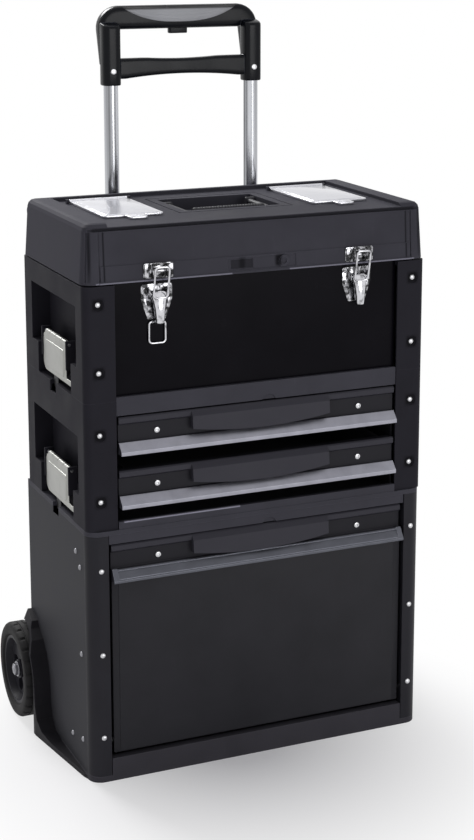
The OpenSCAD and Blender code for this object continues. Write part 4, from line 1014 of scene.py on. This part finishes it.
def studio_world():
    """A dim fill that shows as white."""
    world = bpy.data.worlds.new("studio")
    m = Maker(world, "ShaderNodeOutputWorld")
    fill = m.node("ShaderNodeBackground", {}, {"Color": (0.97, 0.98, 1, 1), "Strength": WORLD_FILL})
    white = m.node("ShaderNodeBackground", {}, {"Color": (1, 1, 1, 1), "Strength": 1.0})
    return m.end(m.node("ShaderNodeMixShader", {}, {0: m.shown(), 1: fill, 2: white}))


def area_lamp(name, place, aim, size, power):
    """A soft lamp that points at a place."""
    data = bpy.data.lights.new(name, "AREA")
    data.shape = "RECTANGLE"
    data.size, data.size_y = size
    data.energy = power
    lamp = bpy.data.objects.new(name, data)
    lamp.location = place
    lamp.rotation_euler = (Vector(aim) - Vector(place)).to_track_quat("-Z", "Y").to_euler()
    bpy.context.scene.collection.objects.link(lamp)


def photo_camera():
    """The camera that sees the part as the photo does."""
    data = bpy.data.cameras.new("camera")
    data.sensor_fit = "AUTO"
    data.sensor_width = SENSOR
    data.lens = FOCAL / PICTURE_HIGH * SENSOR
    data.shift_y = (MIDDLE_ROW - PICTURE_HIGH / 2) / PICTURE_HIGH
    data.clip_end = 60
    camera = bpy.data.objects.new("camera", data)
    level = Matrix.Rotation(-YAW, 3, "Z") @ Matrix.Rotation(math.pi / 2 - PITCH, 3, "X")
    camera.rotation_euler = (level @ Matrix.Rotation(ROLL, 3, "Z")).to_euler()
    camera.location = CAMERA_PLACE
    return camera


class TOOLBOX_OT_stage(Operator):
    """Add the floor, the backdrop, the soft lamps and the camera"""

    bl_idname = "toolbox.stage"
    bl_label = "Stage"

    def execute(self, context):
        scene = context.scene
        scene.view_settings.view_transform = "Standard"
        mesh = bpy.data.meshes.new("floor")
        corners = [(x, y, 0) for x, y in box_outline(-FLOOR_HALF, FLOOR_HALF, -FLOOR_HALF, FLOOR_HALF)]
        mesh.from_pydata(corners, [], [(0, 1, 2, 3)])
        floor = bpy.data.objects.new("floor", mesh)
        scene.collection.objects.link(floor)
        mesh.materials.append(floor_paint(tuple(scene.toolbox_colours.floor)))
        scene.world = studio_world()
        for name, lamp in LAMPS.items():
            area_lamp(name, *lamp)
        scene.camera = photo_camera()
        scene.collection.objects.link(scene.camera)
        return {"FINISHED"}


class TOOLBOX_PT_panel(Panel):
    """Tools and sizes of the tool box"""

    bl_label = "Rolling tool box"
    bl_space_type = "VIEW_3D"
    bl_region_type = "UI"
    bl_category = "Tool box"

    def draw(self, context):
        for group in (context.scene.toolbox_colours, context.scene.toolbox_sizes):
            for name in group.bl_rna.properties.keys():
                if name not in ("rna_type", "name"):
                    self.layout.prop(group, name)
        for operator in OPERATORS:
            self.layout.operator(operator.bl_idname)


OPERATORS = (
    TOOLBOX_OT_finishes,
    TOOLBOX_OT_rivets,
    TOOLBOX_OT_screws,
    TOOLBOX_OT_latches,
    TOOLBOX_OT_clamps,
    TOOLBOX_OT_wheels,
    TOOLBOX_OT_grip,
    TOOLBOX_OT_bin_front,
    TOOLBOX_OT_carry_handle,
    TOOLBOX_OT_covers,
    TOOLBOX_OT_stage,
)
CLASSES = (BoxColours, BoxSizes, *OPERATORS, TOOLBOX_PT_panel)


def register():
    """Adds the classes and their properties to Blender."""
    for each in CLASSES:
        bpy.utils.register_class(each)
    bpy.types.Scene.toolbox_colours = PointerProperty(type=BoxColours)
    bpy.types.Scene.toolbox_sizes = PointerProperty(type=BoxSizes)


def unregister():
    """Takes the classes and their properties out of Blender."""
    del bpy.types.Scene.toolbox_sizes
    del bpy.types.Scene.toolbox_colours
    for each in reversed(CLASSES):
        bpy.utils.unregister_class(each)


def main():
    """Makes every piece."""
    register()
    bpy.ops.toolbox.finishes()
    bpy.ops.toolbox.rivets()
    bpy.ops.toolbox.screws()
    bpy.ops.toolbox.latches()
    bpy.ops.toolbox.clamps()
    bpy.ops.toolbox.wheels()
    bpy.ops.toolbox.grip()
    bpy.ops.toolbox.bin_front()
    bpy.ops.toolbox.carry_handle()
    bpy.ops.toolbox.covers()
    bpy.ops.toolbox.stage()


if __name__ == "__main__":
    main()
